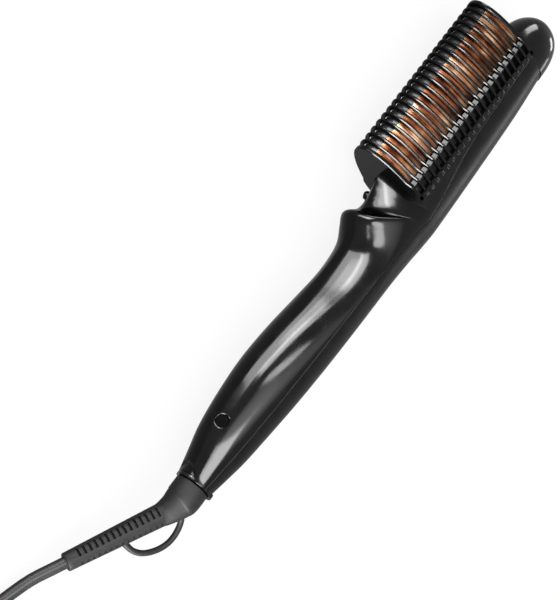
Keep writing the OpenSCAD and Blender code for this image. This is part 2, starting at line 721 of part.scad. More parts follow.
// Ring k of the hank. The second half of a loop is the first half turned round the middle.
function hank_point(k) =
    let (s = k / loop_rings, half = run_rings + fold_rings, u = k % loop_rings, v = u % half,
         r = fold_r(s), on_run = v < run_rings, turn = 180 * (v - run_rings) / fold_rings,
         y = on_run ? hank_run * (0.5 - v / run_rings) : -hank_run / 2 - r * sin(turn),
         x = on_run ? drawn(y) - r : -r * cos(turn), side = u < half ? 1 : -1)
    [hank_x + side * x, hank_y + side * y, lower_z + hank_rise * climbed(s)];
hank_turns = [for (k = [0 : loops * loop_rings]) hank_point(k)];
hank_end = 6;
hank_path = concat(
    [hank_turns[0] + [0, hank_end, 0]], hank_turns,
    [hank_turns[loops * loop_rings] - [0, hank_end, 0]]);
// Least gap of the tube to itself, measured between points half a loop or more apart
gap_steps = 4;
hank_samples = [for (i = [0 : len(hank_turns) - 2]) for (j = [0 : gap_steps - 1])
    hank_turns[i] + (hank_turns[i + 1] - hank_turns[i]) * j / gap_steps];
half_loop = loop_rings * gap_steps / 2;
hank_gap = min([
    for (i = [0 : len(hank_samples) - 1])
        for (j = [i + half_loop : len(hank_samples) - 1])
            norm(hank_samples[i] - hank_samples[j])]) - cord_d;
echo(hank_gap = hank_gap);

// Route of the cord from the strain relief to the hank
run_path = [
    relief_end, relief_end + hank_end * unit(relief_end - relief_start),
    [-28.8, -77, -12], [-32, -88, -13.4], [-34.8, -99, -14.2], [-36.6, -110, -14.3], [-37.5, -122, -13.8],
    hank_path[0] + [0, hank_end, 0], hank_path[0]
];
// Route of the tail from the hank to the plug, which lies on the hank
plug_place = [-27, -200, 3.8];
tail_path = [
    hank_path[len(hank_path) - 1], hank_path[len(hank_path) - 1] - [0, hank_end, 0],
    [-35.4, -158, -6], [-33.4, -166, -3.2], [-30.8, -174, 0], [-28.6, -182, 2.8], [-27.4, -189, 3.7],
    plug_place + [0, hank_end, 0], plug_place
];
module cord(path, sides) {
    tube(path, [for (p = path) cord_r], sides);
}
module cord_run() { color("#6e6e70") in_part_frame() cord(run_path, 10); }
module cord_hank() { color("#6e6e70") in_part_frame() cord(hank_path, 6); }
module cord_tail() { color("#6e6e70") in_part_frame() cord(tail_path, 10); }

module cord_tie() {
    left = fold_r(0) - hank_draw + cord_r + fit;
    right = fold_r(0.5) - hank_draw + cord_r + fit;
    high = hank_rise + cord_d + 2 * fit;
    color("#2c2c2e") in_part_frame() translate([hank_x, hank_y, floor_z]) difference() {
        translate([-left - tie_t, -tie_w / 2, 0]) cube([left + right + 2 * tie_t, tie_w, high + 2 * tie_t]);
        translate([-left, -tie_w, tie_t]) cube([left + right, 2 * tie_w, high]);
    }
}

plug_neck_l = 10;
module plug_body() {
    corner = 4;
    w = plug_w / 2;
    color("#2c2c2e") in_part_frame() translate(plug_place) {
        translate([0, -plug_neck_l - eps, 0]) rotate([-90, 0, 0]) cylinder(h = plug_neck_l + eps, r1 = 5, r2 = 3.6);
        translate([0, -plug_neck_l, -plug_t / 2]) linear_extrude(plug_t) polygon([
            [-w + 2 * corner, 0], [w - 2 * corner, 0], [w, -2 * corner], [w, -plug_l + corner], [w - corner, -plug_l],
            [-w + corner, -plug_l], [-w, -plug_l + corner], [-w, -2 * corner]]);
    }
}
module plug_blades() {
    color("#c4a660") in_part_frame() translate(plug_place - [0, plug_neck_l + plug_l, 0])
        for (s = [-1, 1]) translate([s * blade_spacing / 2 - blade_t / 2, -blade_l, -blade_w / 2])
            cube([blade_t, blade_l, blade_w]);
}

front_shell();
back_shell();
tip_cap();
comb_guard_upper();
comb_guard_lower();
heating_plate_upper();
heating_plate_lower();
ridge_strip();
comb_base();
heater_carrier();
ptc_heaters();
insulation_sheets();
thermistor();
thermal_fuse();
power_button();
button_bezel();
control_board();
tact_switch();
control_chip();
triac();
capacitor();
shell_screws();
comb_screws();
swivel_socket();
collar_ring();
swivel_stem();
contact_rings();
contact_holder();
contact_brushes();
internal_wires();
cord_boot();
strain_relief();
hang_loop();
cord_run();
cord_hank();
cord_tie();
cord_tail();
plug_body();
plug_blades();
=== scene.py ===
"""Hair straightening brush on its side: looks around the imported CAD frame.

Shapes are worked out in the axis frame, in mm: its origin is on the handle's axis at the collar,
+Y runs to the tip, -X is the side of the teeth and +Z is up. solid() brings them to the row frame.
"""
import math

import bmesh
import bpy
from mathutils import Matrix, Vector


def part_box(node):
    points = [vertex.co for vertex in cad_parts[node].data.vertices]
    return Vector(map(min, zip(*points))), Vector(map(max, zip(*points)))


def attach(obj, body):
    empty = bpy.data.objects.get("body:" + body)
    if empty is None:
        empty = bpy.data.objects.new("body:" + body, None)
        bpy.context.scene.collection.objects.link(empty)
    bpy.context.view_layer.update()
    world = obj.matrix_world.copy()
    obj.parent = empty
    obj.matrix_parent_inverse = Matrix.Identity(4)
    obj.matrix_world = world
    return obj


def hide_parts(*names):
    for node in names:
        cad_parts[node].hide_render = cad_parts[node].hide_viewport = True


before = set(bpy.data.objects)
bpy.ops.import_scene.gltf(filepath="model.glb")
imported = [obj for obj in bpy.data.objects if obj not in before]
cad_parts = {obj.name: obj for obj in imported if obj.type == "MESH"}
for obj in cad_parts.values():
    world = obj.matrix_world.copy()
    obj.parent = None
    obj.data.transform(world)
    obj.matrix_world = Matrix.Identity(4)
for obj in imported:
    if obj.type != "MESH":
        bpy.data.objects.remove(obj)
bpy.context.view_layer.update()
MM = 0.001
BACK_LOW, BACK_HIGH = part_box("back_shell")
ORIGIN = Vector((BACK_LOW.x, BACK_LOW.y, (BACK_LOW.z + BACK_HIGH.z) / 2))
FLOOR_Z = -ORIGIN.z / MM

# Sizes repeated from the part's source, in mm
HANDLE_L, NECK_L, NOSE_L = 142, 21.2, 22.7
WALL = 2
FIN_COUNT, FIN_PITCH, FIN_T, FIN_DEPTH, END_T = 21, 4.28, 1.1, 2.4, 2
COMB_FRONT, COMB_HALF, FOOT_FRONT, VALLEY_FRONT = 40, 17, 16, 17
COMB_Y0 = HANDLE_L + NECK_L
COMB_L = (FIN_COUNT + 1) * FIN_PITCH + END_T
COMB_Y1 = COMB_Y0 + COMB_L
STACK_Y0, STACK_L = COMB_Y0 + END_T, COMB_L - 2 * END_T
SEAT_FRONT, LEDGE_FRONT, SEAT_HALF, RAIL_H, SHOULDER_T = 8.6, 6.2, 14, 2.2, 2
TIP_NOTCH = 0.6
INNER_FRONT, INNER_HALF = COMB_FRONT - FIN_DEPTH, COMB_HALF - FIN_DEPTH
SHOULDER_HALF = INNER_HALF - 1.2
PLATE_T, PLATE_LOW, PLATE_HIGH, PLATE_GAP = 1.2, 14.4, 34.8, 0.3
PLATE_FRONT, PLATE_HALF = INNER_FRONT - PLATE_GAP, INNER_HALF - PLATE_GAP
PTC_T, PTC_H, SHEET_T, PAD_T, WEB_T = 3.6, 15, 0.4, 2, 1.4
BUTTON_Y, BUTTON_TURN, BUTTON_R, BUTTON_RECESS, BUTTON_GAP = 26, 40, 3, 0.3, 0.1
BEZEL_W, BEZEL_L = 0.7, 3.6
COLLAR_W, COLLAR_R, RING_T, BOOT_Y = 2, 8.7, 0.9, -2.3
CORD_D = 5.4
FIT = 0.1
# Angle in degrees past which an edge is shaded sharp
SHARP = 34


# Geometry helpers
def at(x, y, z):
    """A place of the axis frame in the row frame, in metres."""
    return ORIGIN + MM * Vector((x, y, z))


def shade(obj, sharp):
    """Smooth shading, but for edges sharper than an angle in degrees."""
    obj.data.shade_smooth()
    obj.data.set_sharp_from_angle(angle=math.radians(sharp))


def finish_mesh(obj, sharp):
    """Joined points, outward normals and smooth shading."""
    bm = bmesh.new()
    bm.from_mesh(obj.data)
    bmesh.ops.remove_doubles(bm, verts=bm.verts, dist=1e-7)
    bmesh.ops.recalc_face_normals(bm, faces=bm.faces)
    bm.to_mesh(obj.data)
    bm.free()
    shade(obj, sharp)


def mesh_object(name, parts, sharp):
    """A shaded object from (points, faces) parts given in the axis frame."""
    points, faces = [], []
    for part_points, part_faces in parts:
        start = len(points)
        points += [at(*p) for p in part_points]
        faces += [[start + i for i in f] for f in part_faces]
    mesh = bpy.data.meshes.new(name)
    mesh.from_pydata(points, [], faces)
    obj = bpy.data.objects.new(name, mesh)
    bpy.context.collection.objects.link(obj)
    finish_mesh(obj, sharp)
    return obj


def solid(name, parts, finish, body, replaces=(), sharp=SHARP):
    """One piece, with its finish, its body and the nodes that it stands for."""
    obj = mesh_object(name, parts, sharp)
    place(obj, finish, body, replaces)
    return obj


def place(obj, finish, body, replaces):
    """Gives a piece its material, its body and the nodes that it stands for."""
    material, slot = FINISHES[finish]
    obj.data.materials.clear()
    obj.data.materials.append(material)
    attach(obj, body)
    if replaces:
        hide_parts(*replaces)


def cut(obj, tools):
    """Takes closed parts away from a piece, which is shaded again."""
    cutter = mesh_object("cutter", tools, SHARP)
    modifier = obj.modifiers.new("cut", "BOOLEAN")
    modifier.operation = "DIFFERENCE"
    modifier.solver = "EXACT"
    modifier.object = cutter
    apply_modifiers(obj)
    bpy.data.objects.remove(cutter)
    shade(obj, SHARP)


def apply_modifiers(obj):
    """Bakes a piece's modifiers into its mesh."""
    graph = bpy.context.evaluated_depsgraph_get()
    mesh = bpy.data.meshes.new_from_object(obj.evaluated_get(graph))
    obj.modifiers.clear()
    old, obj.data = obj.data, mesh
    bpy.data.meshes.remove(old)


def loft(rings, caps=True):
    """A closed solid through rings of equal length, with a fan at each end."""
    n = len(rings[0])
    points = [tuple(p) for ring in rings for p in ring]
    faces = []
    for j in range(len(rings) - 1):
        for i in range(n):
            a, b = j * n + i, j * n + (i + 1) % n
            faces.append([a, b, b + n, a + n])
    if caps:
        for j in (0, len(rings) - 1):
            centre = [sum(p[k] for p in rings[j]) / n for k in range(3)]
            points.append(tuple(centre))
            c = len(points) - 1
            faces += [[c, j * n + i, j * n + (i + 1) % n] for i in range(n)]
    return points, faces


def wall_loft(outer, inner):
    """A closed wall between open rings of equal length, outside and inside."""
    rings = [o + i[::-1] for o, i in zip(outer, inner)]
    points, faces = loft(rings, caps=False)
    n = len(rings[0])
    for start in (0, (len(rings) - 1) * n):
        end = start + n - 1
        faces += [[start + i, start + i + 1, end - 1 - i, end - i] for i in range(n // 2 - 1)]
    return points, faces


def smooth(points, steps):
    """A smooth curve through points of any number of values, with steps to each stretch."""
    out = []
    for i in range(len(points) - 1):
        p0, p1 = points[max(i - 1, 0)], points[i]
        p2, p3 = points[i + 1], points[min(i + 2, len(points) - 1)]
        for k in range(steps):
            t = k / steps
            out.append(tuple(
                0.5 * (2 * b + (c - a) * t + (2 * a - 5 * b + 4 * c - d) * t * t
                       + (3 * b - a - 3 * c + d) * t ** 3)
                for a, b, c, d in zip(p0, p1, p2, p3)))
    out.append(tuple(points[-1]))
    return out


def frames(path):
    """(place, across, up) square to a path at each of its points, without twist."""
    path = [Vector(p) for p in path]
    out, across = [], None
    for i, p in enumerate(path):
        along = (path[min(i + 1, len(path) - 1)] - path[max(i - 1, 0)]).normalized()
        if across is None:
            across = along.cross(Vector((0, 0, 1)))
        across = (across - across.dot(along) * along).normalized()
        out.append((p, across, along.cross(across)))
    return out


def full_turn(sides):
    """Equal turns about an axis, in radians."""
    return [2 * math.pi * k / sides for k in range(sides)]


def tube(path, radii, sides):
    """A round bar along a path with a radius at each point."""
    rings = []
    for (p, u, w), r in zip(frames(path), radii):
        rings.append([p + r * (math.cos(a) * u + math.sin(a) * w) for a in full_turn(sides)])
    return loft(rings)


def round_axis(r, h, a):
    """A place about the handle's axis, by its radius, height and turn."""
    return r * math.cos(a), h, r * math.sin(a)


def lathe(profile, place_point=round_axis, sides=64, closed=True):
    """A closed solid of revolution. profile holds (radius, height); closed rings have a bore."""
    rings = [[place_point(r, h, a) for a in full_turn(sides)] for r, h in profile]
    return loft(rings + [rings[0]], caps=False) if closed else loft(rings)


def rounded_box(low, high, radius, segments=2):
    """A box with rounded edges."""
    bm = bmesh.new()
    bmesh.ops.create_cube(bm, size=1)
    for v in bm.verts:
        for k in range(3):
            v.co[k] = low[k] if v.co[k] < 0 else high[k]
    bmesh.ops.bevel(bm, geom=bm.edges[:], offset=radius, segments=segments, profile=0.5, affect="EDGES")
    return mesh_part(bm)


def mesh_part(bm):
    """(points, faces) of a bmesh, which is freed."""
    bm.verts.ensure_lookup_table()
    points = [tuple(v.co) for v in bm.verts]
    faces = [[v.index for v in f.verts] for f in bm.faces]
    bm.free()
    return points, faces


def inset_outline(outline, distance, still):
    """An outline moved inwards, but for the edges that still(start, end) holds in place."""
    following = outline[1:] + outline[:1]
    turn = math.copysign(1, sum(a[0] * b[1] - b[0] * a[1] for a, b in zip(outline, following)))
    sides = []
    for start, end in zip(outline, following):
        dq, dz = end[0] - start[0], end[1] - start[1]
        length = math.hypot(dq, dz)
        sides.append((-turn * dz / length, turn * dq / length, 0 if still(start, end) else distance))
    out = []
    for i, (q, z) in enumerate(outline):
        (a, b, d), (c, e, f) = sides[i - 1], sides[i]
        det = a * e - b * c
        if abs(det) < 0.05:
            out.append((q + a * d, z + b * d))
        else:
            out.append((q + (d * e - b * f) / det, z + (a * f - c * d) / det))
    return out


def slab(outline, y, thickness, radius, segments=2, still=lambda start, end: False, chamfer=0.0):
    """An outline of (reach, height) drawn along the axis, its rims rounded but where still holds them.

    A chamfer makes the rims towards the cord flat at 45 degrees instead."""
    turns = [math.pi / 2 * k / segments for k in range(segments + 1)]
    rounded = [(radius * (1 - math.sin(a)), radius * (1 - math.cos(a))) for a in turns]
    near = [(chamfer, 0), (0, chamfer)] if chamfer else rounded
    rows = near + [(d, thickness - h) for d, h in reversed(rounded)]
    rings = [[(-q, y + h, z) for q, z in inset_outline(outline, d, still)] for d, h in rows]
    points, faces = loft(rings, caps=False)
    n = len(outline)
    return points, faces + [list(range(n)), list(range(len(points) - n, len(points)))]


def mirrored(part):
    """The same part on the lower side."""
    points, faces = part
    return [(x, y, -z) for x, y, z in points], [f[::-1] for f in faces]


def shifted(part, distance):
    """The same part moved to the tip."""
    points, faces = part
    return [(x, y + distance, z) for x, y, z in points], faces


# Materials
def feed(tree, socket, value):
    """Gives a socket a value or another node's output."""
    if isinstance(value, bpy.types.NodeSocket):
        tree.links.new(value, socket)
    else:
        socket.default_value = value


def add(tree, kind, **inputs):
    """A shader node. Inputs are values or other nodes' outputs, by the socket's name."""
    node = tree.nodes.new("ShaderNode" + kind)
    for name, value in inputs.items():
        feed(tree, node.inputs[name], value)
    return node


def math_node(tree, operation, *values):
    """The result of a Math node over values or other nodes' outputs."""
    node = tree.nodes.new("ShaderNodeMath")
    node.operation = operation
    for socket, value in zip(node.inputs, values):
        feed(tree, socket, value)
    return node.outputs[0]


def ramp(tree, factor, stops):
    """A colour ramp over (position, colour) stops."""
    node = tree.nodes.new("ShaderNodeValToRGB")
    tree.links.new(factor, node.inputs["Fac"])
    elements = node.color_ramp.elements
    elements[0].position, elements[0].color = stops[0][0], (*stops[0][1], 1)
    elements[1].position, elements[1].color = stops[-1][0], (*stops[-1][1], 1)
    for position, colour in stops[1:-1]:
        elements.new(position).color = (*colour, 1)
    return node.outputs["Color"]


def mapped(tree, value, low, high, start=0.0, end=1.0):
    """A value brought from one range to another."""
    node = add(tree, "MapRange", Value=value)
    for name, bound in (("From Min", start), ("From Max", end), ("To Min", low), ("To Max", high)):
        node.inputs[name].default_value = bound
    return node.outputs["Result"]


def place_nodes(tree, stretch=(1, 1, 1)):
    """Object coordinates, stretched."""
    coordinates = tree.nodes.new("ShaderNodeTexCoord")
    node = add(tree, "Mapping", Vector=coordinates.outputs["Object"])
    node.inputs["Scale"].default_value = stretch
    return node.outputs["Vector"]


def noise(tree, vector, scale, detail, roughness):
    """Fractal noise with a scale in cells to the metre."""
    node = add(tree, "TexNoise", Vector=vector, Scale=scale, Detail=detail, Roughness=roughness)
    return node.outputs["Fac"]


def blank(name):
    """A new material with only a Principled shader: (material, tree, shader)."""
    material = bpy.data.materials.new(name)
    material.use_nodes = True
    tree = material.node_tree
    return material, tree, tree.nodes["Principled BSDF"]


def mixed(tree, factor, low, high):
    """A colour between two, by a factor."""
    node = tree.nodes.new("ShaderNodeMix")
    node.data_type = "RGBA"
    feed(tree, node.inputs[0], factor)
    for socket, colour in zip(node.inputs[6:8], (low, high)):
        feed(tree, socket, (*colour, 1) if isinstance(colour, tuple) else colour)
    return node.outputs[2]


def surface(name, dark, light, roughness, grain=1200, bump=0.1, depth=0.00003, metallic=0.0,
            stretch=(1, 1, 1), edge=0.0, specular=0.5, painted_shade_reach=0.0):
    """Moulded or metal surface: mottled colour, uneven gloss, a fine grain and worn edges.

    With a shade reach, a distance in metres, painted shade makes hollows of that size near black, and they
    are dull."""
    material, tree, shader = blank(name)
    vector = place_nodes(tree, stretch)
    broad = noise(tree, vector, grain / 14, 4.0, 0.6)
    fine = noise(tree, vector, grain, 3.0, 0.55)
    colour = ramp(tree, broad, [(0.35, dark), (0.68, light)])
    gloss = mapped(tree, broad, roughness[0], roughness[1], 0.3, 0.7)
    if edge:
        geometry = tree.nodes.new("ShaderNodeNewGeometry")
        worn = mapped(tree, geometry.outputs["Pointiness"], 0.0, edge, 0.52, 0.62)
        lighter = tuple(min(1.0, 2.5 * c + 0.02) for c in light)
        colour = mixed(tree, worn, colour, lighter)
    # Painted shade: the colour goes near black where the piece's own mesh hides the world, as in slots and
    # hollows.
    if painted_shade_reach:
        occlusion = add(tree, "AmbientOcclusion", Distance=painted_shade_reach)
        occlusion.only_local = True
        painted_shade = mapped(tree, occlusion.outputs["AO"], 1.0, 0.0, 0.45, 0.85)
        colour = mixed(tree, painted_shade, colour, (0.0005, 0.0005, 0.0005))
        gloss = math_node(tree, "MAXIMUM", gloss, painted_shade)
    tree.links.new(colour, shader.inputs["Base Color"])
    tree.links.new(gloss, shader.inputs["Roughness"])
    shader.inputs["Metallic"].default_value = metallic
    shader.inputs["Specular IOR Level"].default_value = specular
    shader.inputs["IOR"].default_value = 1.45
    if bump:
        node = add(tree, "Bump", Height=fine, Strength=bump, Distance=depth)
        tree.links.new(node.outputs["Normal"], shader.inputs["Normal"])
    return material


def copper_finish():
    """Drawn copper-coloured plate: streaks round its curve that set its gloss and bump, painted reflections
    in its colour from these streaks and deeper bands, and a grey tint at its foot.
    """
    material, tree, shader = blank("copper_plate")
    streak_and_painted_reflection = noise(tree, place_nodes(tree, (0.07, 1, 0.07)), 620, 4.0, 0.6)
    band = noise(tree, place_nodes(tree, (0.35, 1, 0.35)), 190, 2.0, 0.5)
    mottle = noise(tree, place_nodes(tree), 210, 2.0, 0.5)
    level = math_node(tree, "MULTIPLY_ADD", band, 0.45, math_node(tree, "MULTIPLY", mottle, 0.2))
    level = math_node(tree, "MULTIPLY_ADD", streak_and_painted_reflection, 0.35, level)
    # Near-black to beige stops: painted reflections and highlight streaks laid over the copper's own colour.
    colour = ramp(tree, level, [(0.39, (0.02, 0.006, 0.004)), (0.455, (0.085, 0.026, 0.012)),
                                (0.51, (0.22, 0.078, 0.034)), (0.565, (0.38, 0.19, 0.1)),
                                (0.63, (0.68, 0.47, 0.32))])
    coordinates = tree.nodes.new("ShaderNodeTexCoord")
    parts = add(tree, "SeparateXYZ", Vector=coordinates.outputs["Object"])
    foot_x, clear_x = at(-PLATE_LOW, 0, 0).x, at(-PLATE_LOW - 9, 0, 0).x
    tint = mapped(tree, parts.outputs["X"], 0.0, 0.75, clear_x, foot_x)
    tinted = ramp(tree, level, [(0.4, (0.05, 0.03, 0.022)), (0.62, (0.36, 0.27, 0.19))])
    tree.links.new(mixed(tree, tint, colour, tinted), shader.inputs["Base Color"])
    tree.links.new(mapped(tree, streak_and_painted_reflection, 0.2, 0.34, 0.3, 0.7), shader.inputs["Roughness"])
    shader.inputs["Metallic"].default_value = 1.0
    node = add(tree, "Bump", Height=streak_and_painted_reflection, Strength=0.3, Distance=0.00005)
    tree.links.new(node.outputs["Normal"], shader.inputs["Normal"])
    return material


def grey(level, blue=0.0):
    """A grey with a touch of blue."""
    return level, level, level + blue


def make_finishes():
    """All finishes by name: (material, the record's slot)."""
    materials = {
        "housing": surface("gloss_black", grey(0.002), grey(0.005, 0.0003), (0.1, 0.17), 1500, 0.05,
                           0.00002, edge=0.2, specular=0.2),
        "back": surface("satin_black", grey(0.002), grey(0.004, 0.0003), (0.28, 0.38), 1500, 0.08,
                        0.00002, edge=0.2, specular=0.12),
        "guard": surface("comb_black", grey(0.002), grey(0.004, 0.0003), (0.12, 0.2), 1800, 0.06,
                         0.00002, edge=0.2, specular=0.14),
        "copper": copper_finish(),
        "ridge": surface("ridge_black", grey(0.02), grey(0.035), (0.18, 0.3), 1500, 0.06, 0.00002),
        "button": surface("button_black", grey(0.012), grey(0.018), (0.4, 0.5), 2200, 0.15, specular=0.0),
        "socket": surface("bearing_black", grey(0.002), grey(0.004), (0.3, 0.42), 1800, 0.12,
                          specular=0.08),
        "ring": surface("dark_ring", grey(0.02), grey(0.035), (0.12, 0.2), 2600, 0.04, 0.00001,
                        metallic=1.0),
        # Painted shade darkens the slots of the strain relief and other hollows with this finish.
        "boot": surface("soft_grey", grey(0.007), grey(0.012, 0.0003), (0.52, 0.62), 2400, 0.2,
                        specular=0.14, painted_shade_reach=0.002),
        "cord": surface("cord_grey", grey(0.014), grey(0.022, 0.0006), (0.38, 0.5), 2600, 0.05,
                        specular=0.2),
        "tie": surface("band_black", grey(0.02), grey(0.035), (0.5, 0.66), 2600, 0.4, 0.00004),
        "plug": surface("plug_black", grey(0.02), grey(0.032), (0.36, 0.5), 2400, 0.25),
        "blade": surface("nickel", (0.62, 0.55, 0.42), (0.74, 0.68, 0.55), (0.2, 0.34), 1600, 0.08,
                         0.00001, metallic=1.0, stretch=(1, 0.15, 1)),
        "screw": surface("plated_steel", grey(0.42), grey(0.56), (0.25, 0.4), 2600, 0.1, 0.00001,
                         metallic=1.0),
        "carrier": surface("carrier_white", (0.7, 0.67, 0.6), (0.8, 0.77, 0.7), (0.5, 0.62), 1500, 0.2),
        "ptc": surface("heater_ceramic", grey(0.2), grey(0.3, 0.01), (0.55, 0.7), 2400, 0.35),
        "insulation": surface("amber_film", (0.55, 0.3, 0.07), (0.68, 0.4, 0.12), (0.2, 0.32)),
        "sensor": surface("glass_bead", grey(0.02), grey(0.05, 0.02), (0.05, 0.12), bump=0.05),
        "fuse": surface("fuse_beige", (0.6, 0.55, 0.42), (0.7, 0.66, 0.55), (0.45, 0.6), 1800, 0.2),
        "board": surface("board_green", (0.01, 0.09, 0.03), (0.02, 0.14, 0.05), (0.28, 0.4)),
        "component": surface("component_black", grey(0.015), grey(0.03), (0.4, 0.55), 2600, 0.2),
        "capacitor": surface("sleeve_blue", (0.02, 0.05, 0.2), (0.03, 0.08, 0.28), (0.25, 0.36), 1400),
        "contact": surface("brass", (0.5, 0.34, 0.1), (0.62, 0.44, 0.16), (0.22, 0.36), 2000, 0.08,
                           0.00001, metallic=1.0),
        "wire": surface("wire_red", (0.35, 0.03, 0.02), (0.45, 0.05, 0.03), (0.35, 0.5), 2000, 0.15)}
    slots = {"back": "housing", "copper": "copper_plate"}
    return {name: (material, slots.get(name, name)) for name, material in materials.items()}


# Camera, floor and light
VIEW_H, VIEW_F, SENSOR = 600, 1700, 24
CAMERA_AT = (-436.65, -147.82, 589.10)
CAMERA_RIGHT = Vector((0.54135, 0.58022, 0.60848))
CAMERA_UP = Vector((-0.63966, 0.75391, -0.14980))
CAMERA_BACK = Vector((-0.54567, -0.30814, 0.77929))


def make_camera():
    """The photograph's view."""
    data = bpy.data.cameras.new("camera")
    data.sensor_fit = "VERTICAL"
    data.sensor_height = SENSOR
    data.lens = SENSOR * VIEW_F / VIEW_H
    data.clip_start, data.clip_end = 0.01, 50
    camera = bpy.data.objects.new("camera", data)
    turn = Matrix((CAMERA_RIGHT, CAMERA_UP, CAMERA_BACK)).transposed().to_4x4()
    camera.matrix_world = Matrix.Translation(at(*CAMERA_AT)) @ turn
    bpy.context.collection.objects.link(camera)
    bpy.context.scene.camera = camera


def seen_rays(tree, eye=1.0, mirror=1.0):
    """A strength for rays of the camera, another for reflections and through glass, else 0."""
    ray = tree.nodes.new("ShaderNodeLightPath").outputs
    strongest = math_node(tree, "MULTIPLY", ray["Is Camera Ray"], eye)
    for name in ("Is Glossy Ray", "Is Transmission Ray"):
        strongest = math_node(tree, "MAXIMUM", strongest, math_node(tree, "MULTIPLY", ray[name], mirror))
    return strongest


def make_world(ambient):
    """White to the eye and to reflections, and a plain level of light for everything else."""
    world = bpy.data.worlds.new("world")
    world.use_nodes = True
    bpy.context.scene.world = world
    tree = world.node_tree
    background = tree.nodes["Background"]
    background.inputs["Color"].default_value = (1, 1, 1, 1)
    strength = mapped(tree, seen_rays(tree), ambient, 1.0)
    tree.links.new(strength, background.inputs["Strength"])


def make_floor(eye, mirror, tone):
    """White ground that keeps a soft shadow."""
    half = 4.0
    mesh = bpy.data.meshes.new("floor")
    corners = [(-half, -half, 0), (half, -half, 0), (half, half, 0), (-half, half, 0)]
    mesh.from_pydata(corners, [], [(0, 1, 2, 3)])
    floor = bpy.data.objects.new("floor", mesh)
    bpy.context.collection.objects.link(floor)
    material, tree, shader = blank("floor_white")
    tree.nodes.remove(shader)
    diffuse = add(tree, "BsdfDiffuse", Color=(tone, tone, tone, 1))
    light = add(tree, "Emission", Color=(1, 1, 1, 1), Strength=seen_rays(tree, eye, mirror))
    total = tree.nodes.new("ShaderNodeAddShader")
    tree.links.new(diffuse.outputs[0], total.inputs[0])
    tree.links.new(light.outputs[0], total.inputs[1])
    tree.links.new(total.outputs[0], tree.nodes["Material Output"].inputs["Surface"])
    mesh.materials.append(material)


def softbox(name, target, towards, distance, width, height, radiance, shape="RECTANGLE", across=None):
    """A lamp at a distance from a place of the axis frame, facing it (lengths in mm).

    It draws a streak on gloss and adds no light to matte surfaces, which the world lights. across is
    the way that its width runs, for a lamp that is nearly overhead."""
    data = bpy.data.lights.new(name, "AREA")
    data.shape = shape
    data.size, data.size_y = width * MM, height * MM
    area = data.size * data.size_y * (math.pi / 4 if shape == "ELLIPSE" else 1)
    data.energy = radiance * math.pi * area
    lamp = bpy.data.objects.new(name, data)
    direction = Vector(towards).normalized()
    turn = direction.to_track_quat("Z", "Y").to_matrix().to_4x4()
    if across:
        side = Vector(across)
        side = (side - side.dot(direction) * direction).normalized()
        turn = Matrix((side, direction.cross(side), direction)).transposed().to_4x4()
    lamp.matrix_world = Matrix.Translation(at(*target) + distance * MM * direction) @ turn
    lamp.visible_camera = False
    lamp.visible_diffuse = False
    bpy.context.collection.objects.link(lamp)


def make_lights():
    """Softboxes whose reflections give the streaks along the handle, the neck and the comb."""
    softbox("neck_light", (-18, 157, 3), (-0.87, 0.2, 0.44), 250, 66, 84, 15)
    softbox("foot_light", (-15, 212, 15), (-0.78, 0.08, 0.59), 500, 200, 130, 34)
    softbox("waist_light", (-12, 90, 6), (-0.86, 0.28, 0.3), 800, 370, 440, 19)
    softbox("grip_light", (-6, 15, 9), (-0.219, -0.181, 0.94), 450, 365, 135, 30, across=(-0.88, -0.47, 0))
    softbox("stop_light", (-12, 137, 13), (-0.33, -0.09, 0.94), 220, 97, 44, 26, shape="ELLIPSE",
            across=(0.85, 0.53, 0))
    for i in range(4):
        softbox("grip_glow_%d" % i, (-6, 40, 9), (-0.14 + 0.02 * i, -0.04 + 0.04 * i, 0.967), 915 + 15 * i,
                640 + 100 * i, 300 + 90 * i, 1.6, shape="ELLIPSE", across=(-0.88, -0.47, 0))
    softbox("rim_light", (-28, 210, 10), (0.08, -0.9, 0.28), 800, 860, 270, 98)
    softbox("back_light", (5, 220, 14), (0.86, 0.48, 0.17), 900, 300, 160, 6)
    softbox("tip_light", (-10, 269, 8), (-0.5, 0.82, 0.17), 800, 420, 300, 22)
    softbox("edge_light", (3, 274, 12), (0.63, 0.77, 0.1), 500, 130, 90, 14)


# Body
# The shells' skirt over the collar, and the bar's end
SKIRT_Y, SKIRT_WALL = -1.9, 0.22
BAR_BACK, BAR_HALF = 14.9, 14.4
# Distance, front, back, half height, roundness of the front
STATIONS = [
    (SKIRT_Y, 8.98, 8.98, 8.98, 2), (0, 9.0, 9.0, 9.0, 2), (5, 10.5, 9.9, 9.7, 2), (10, 12, 10.8, 10.4, 2),
    (20, 15, 12.4, 11.8, 2), (35, 17.3, 13.7, 13.2, 2), (55, 18.7, 15.1, 14.8, 1.95),
    (75, 17.8, 16, 15.8, 1.82), (95, 15.7, 16.4, 16.5, 1.6), (110, 14.5, 16.6, 16.8, 1.42),
    (120, 14.6, 16.6, 17, 1.42), (128, 15.8, 16.8, 17, 1.55), (134.6, 20.3, 17.2, 17, 1.8),
    (137.2, 22.3, 17.4, 17, 1.88), (139.2, 23.1, 17.6, 17, 1.92), (141.2, 22.5, 17.7, 17, 1.9),
    (143.4, 20.3, 17.9, 17, 1.75), (146, 18.6, 18.2, 17, 1.6), (150, 18.5, 18.6, 17, 1.45),
    (157, 20.7, 19.2, 17, 1.28), (COMB_Y0, 22.4, 19.5, 17, 1.2), (200, 22.4, 18.5, 16.3, 1.2),
    (235, 22.4, 17.1, 15.4, 1.2), (COMB_Y1, 22.4, BAR_BACK, BAR_HALF, 1.2)]
# How far the stop's crest runs to the tip on its flanks
SLANT = [(SKIRT_Y, 0), (110, 0), (125, 5), (137, 13), (141, 13.3), (147, 9.6), (154, 5), (160, 1.2),
         (COMB_Y0, 0), (COMB_Y1, 0)]
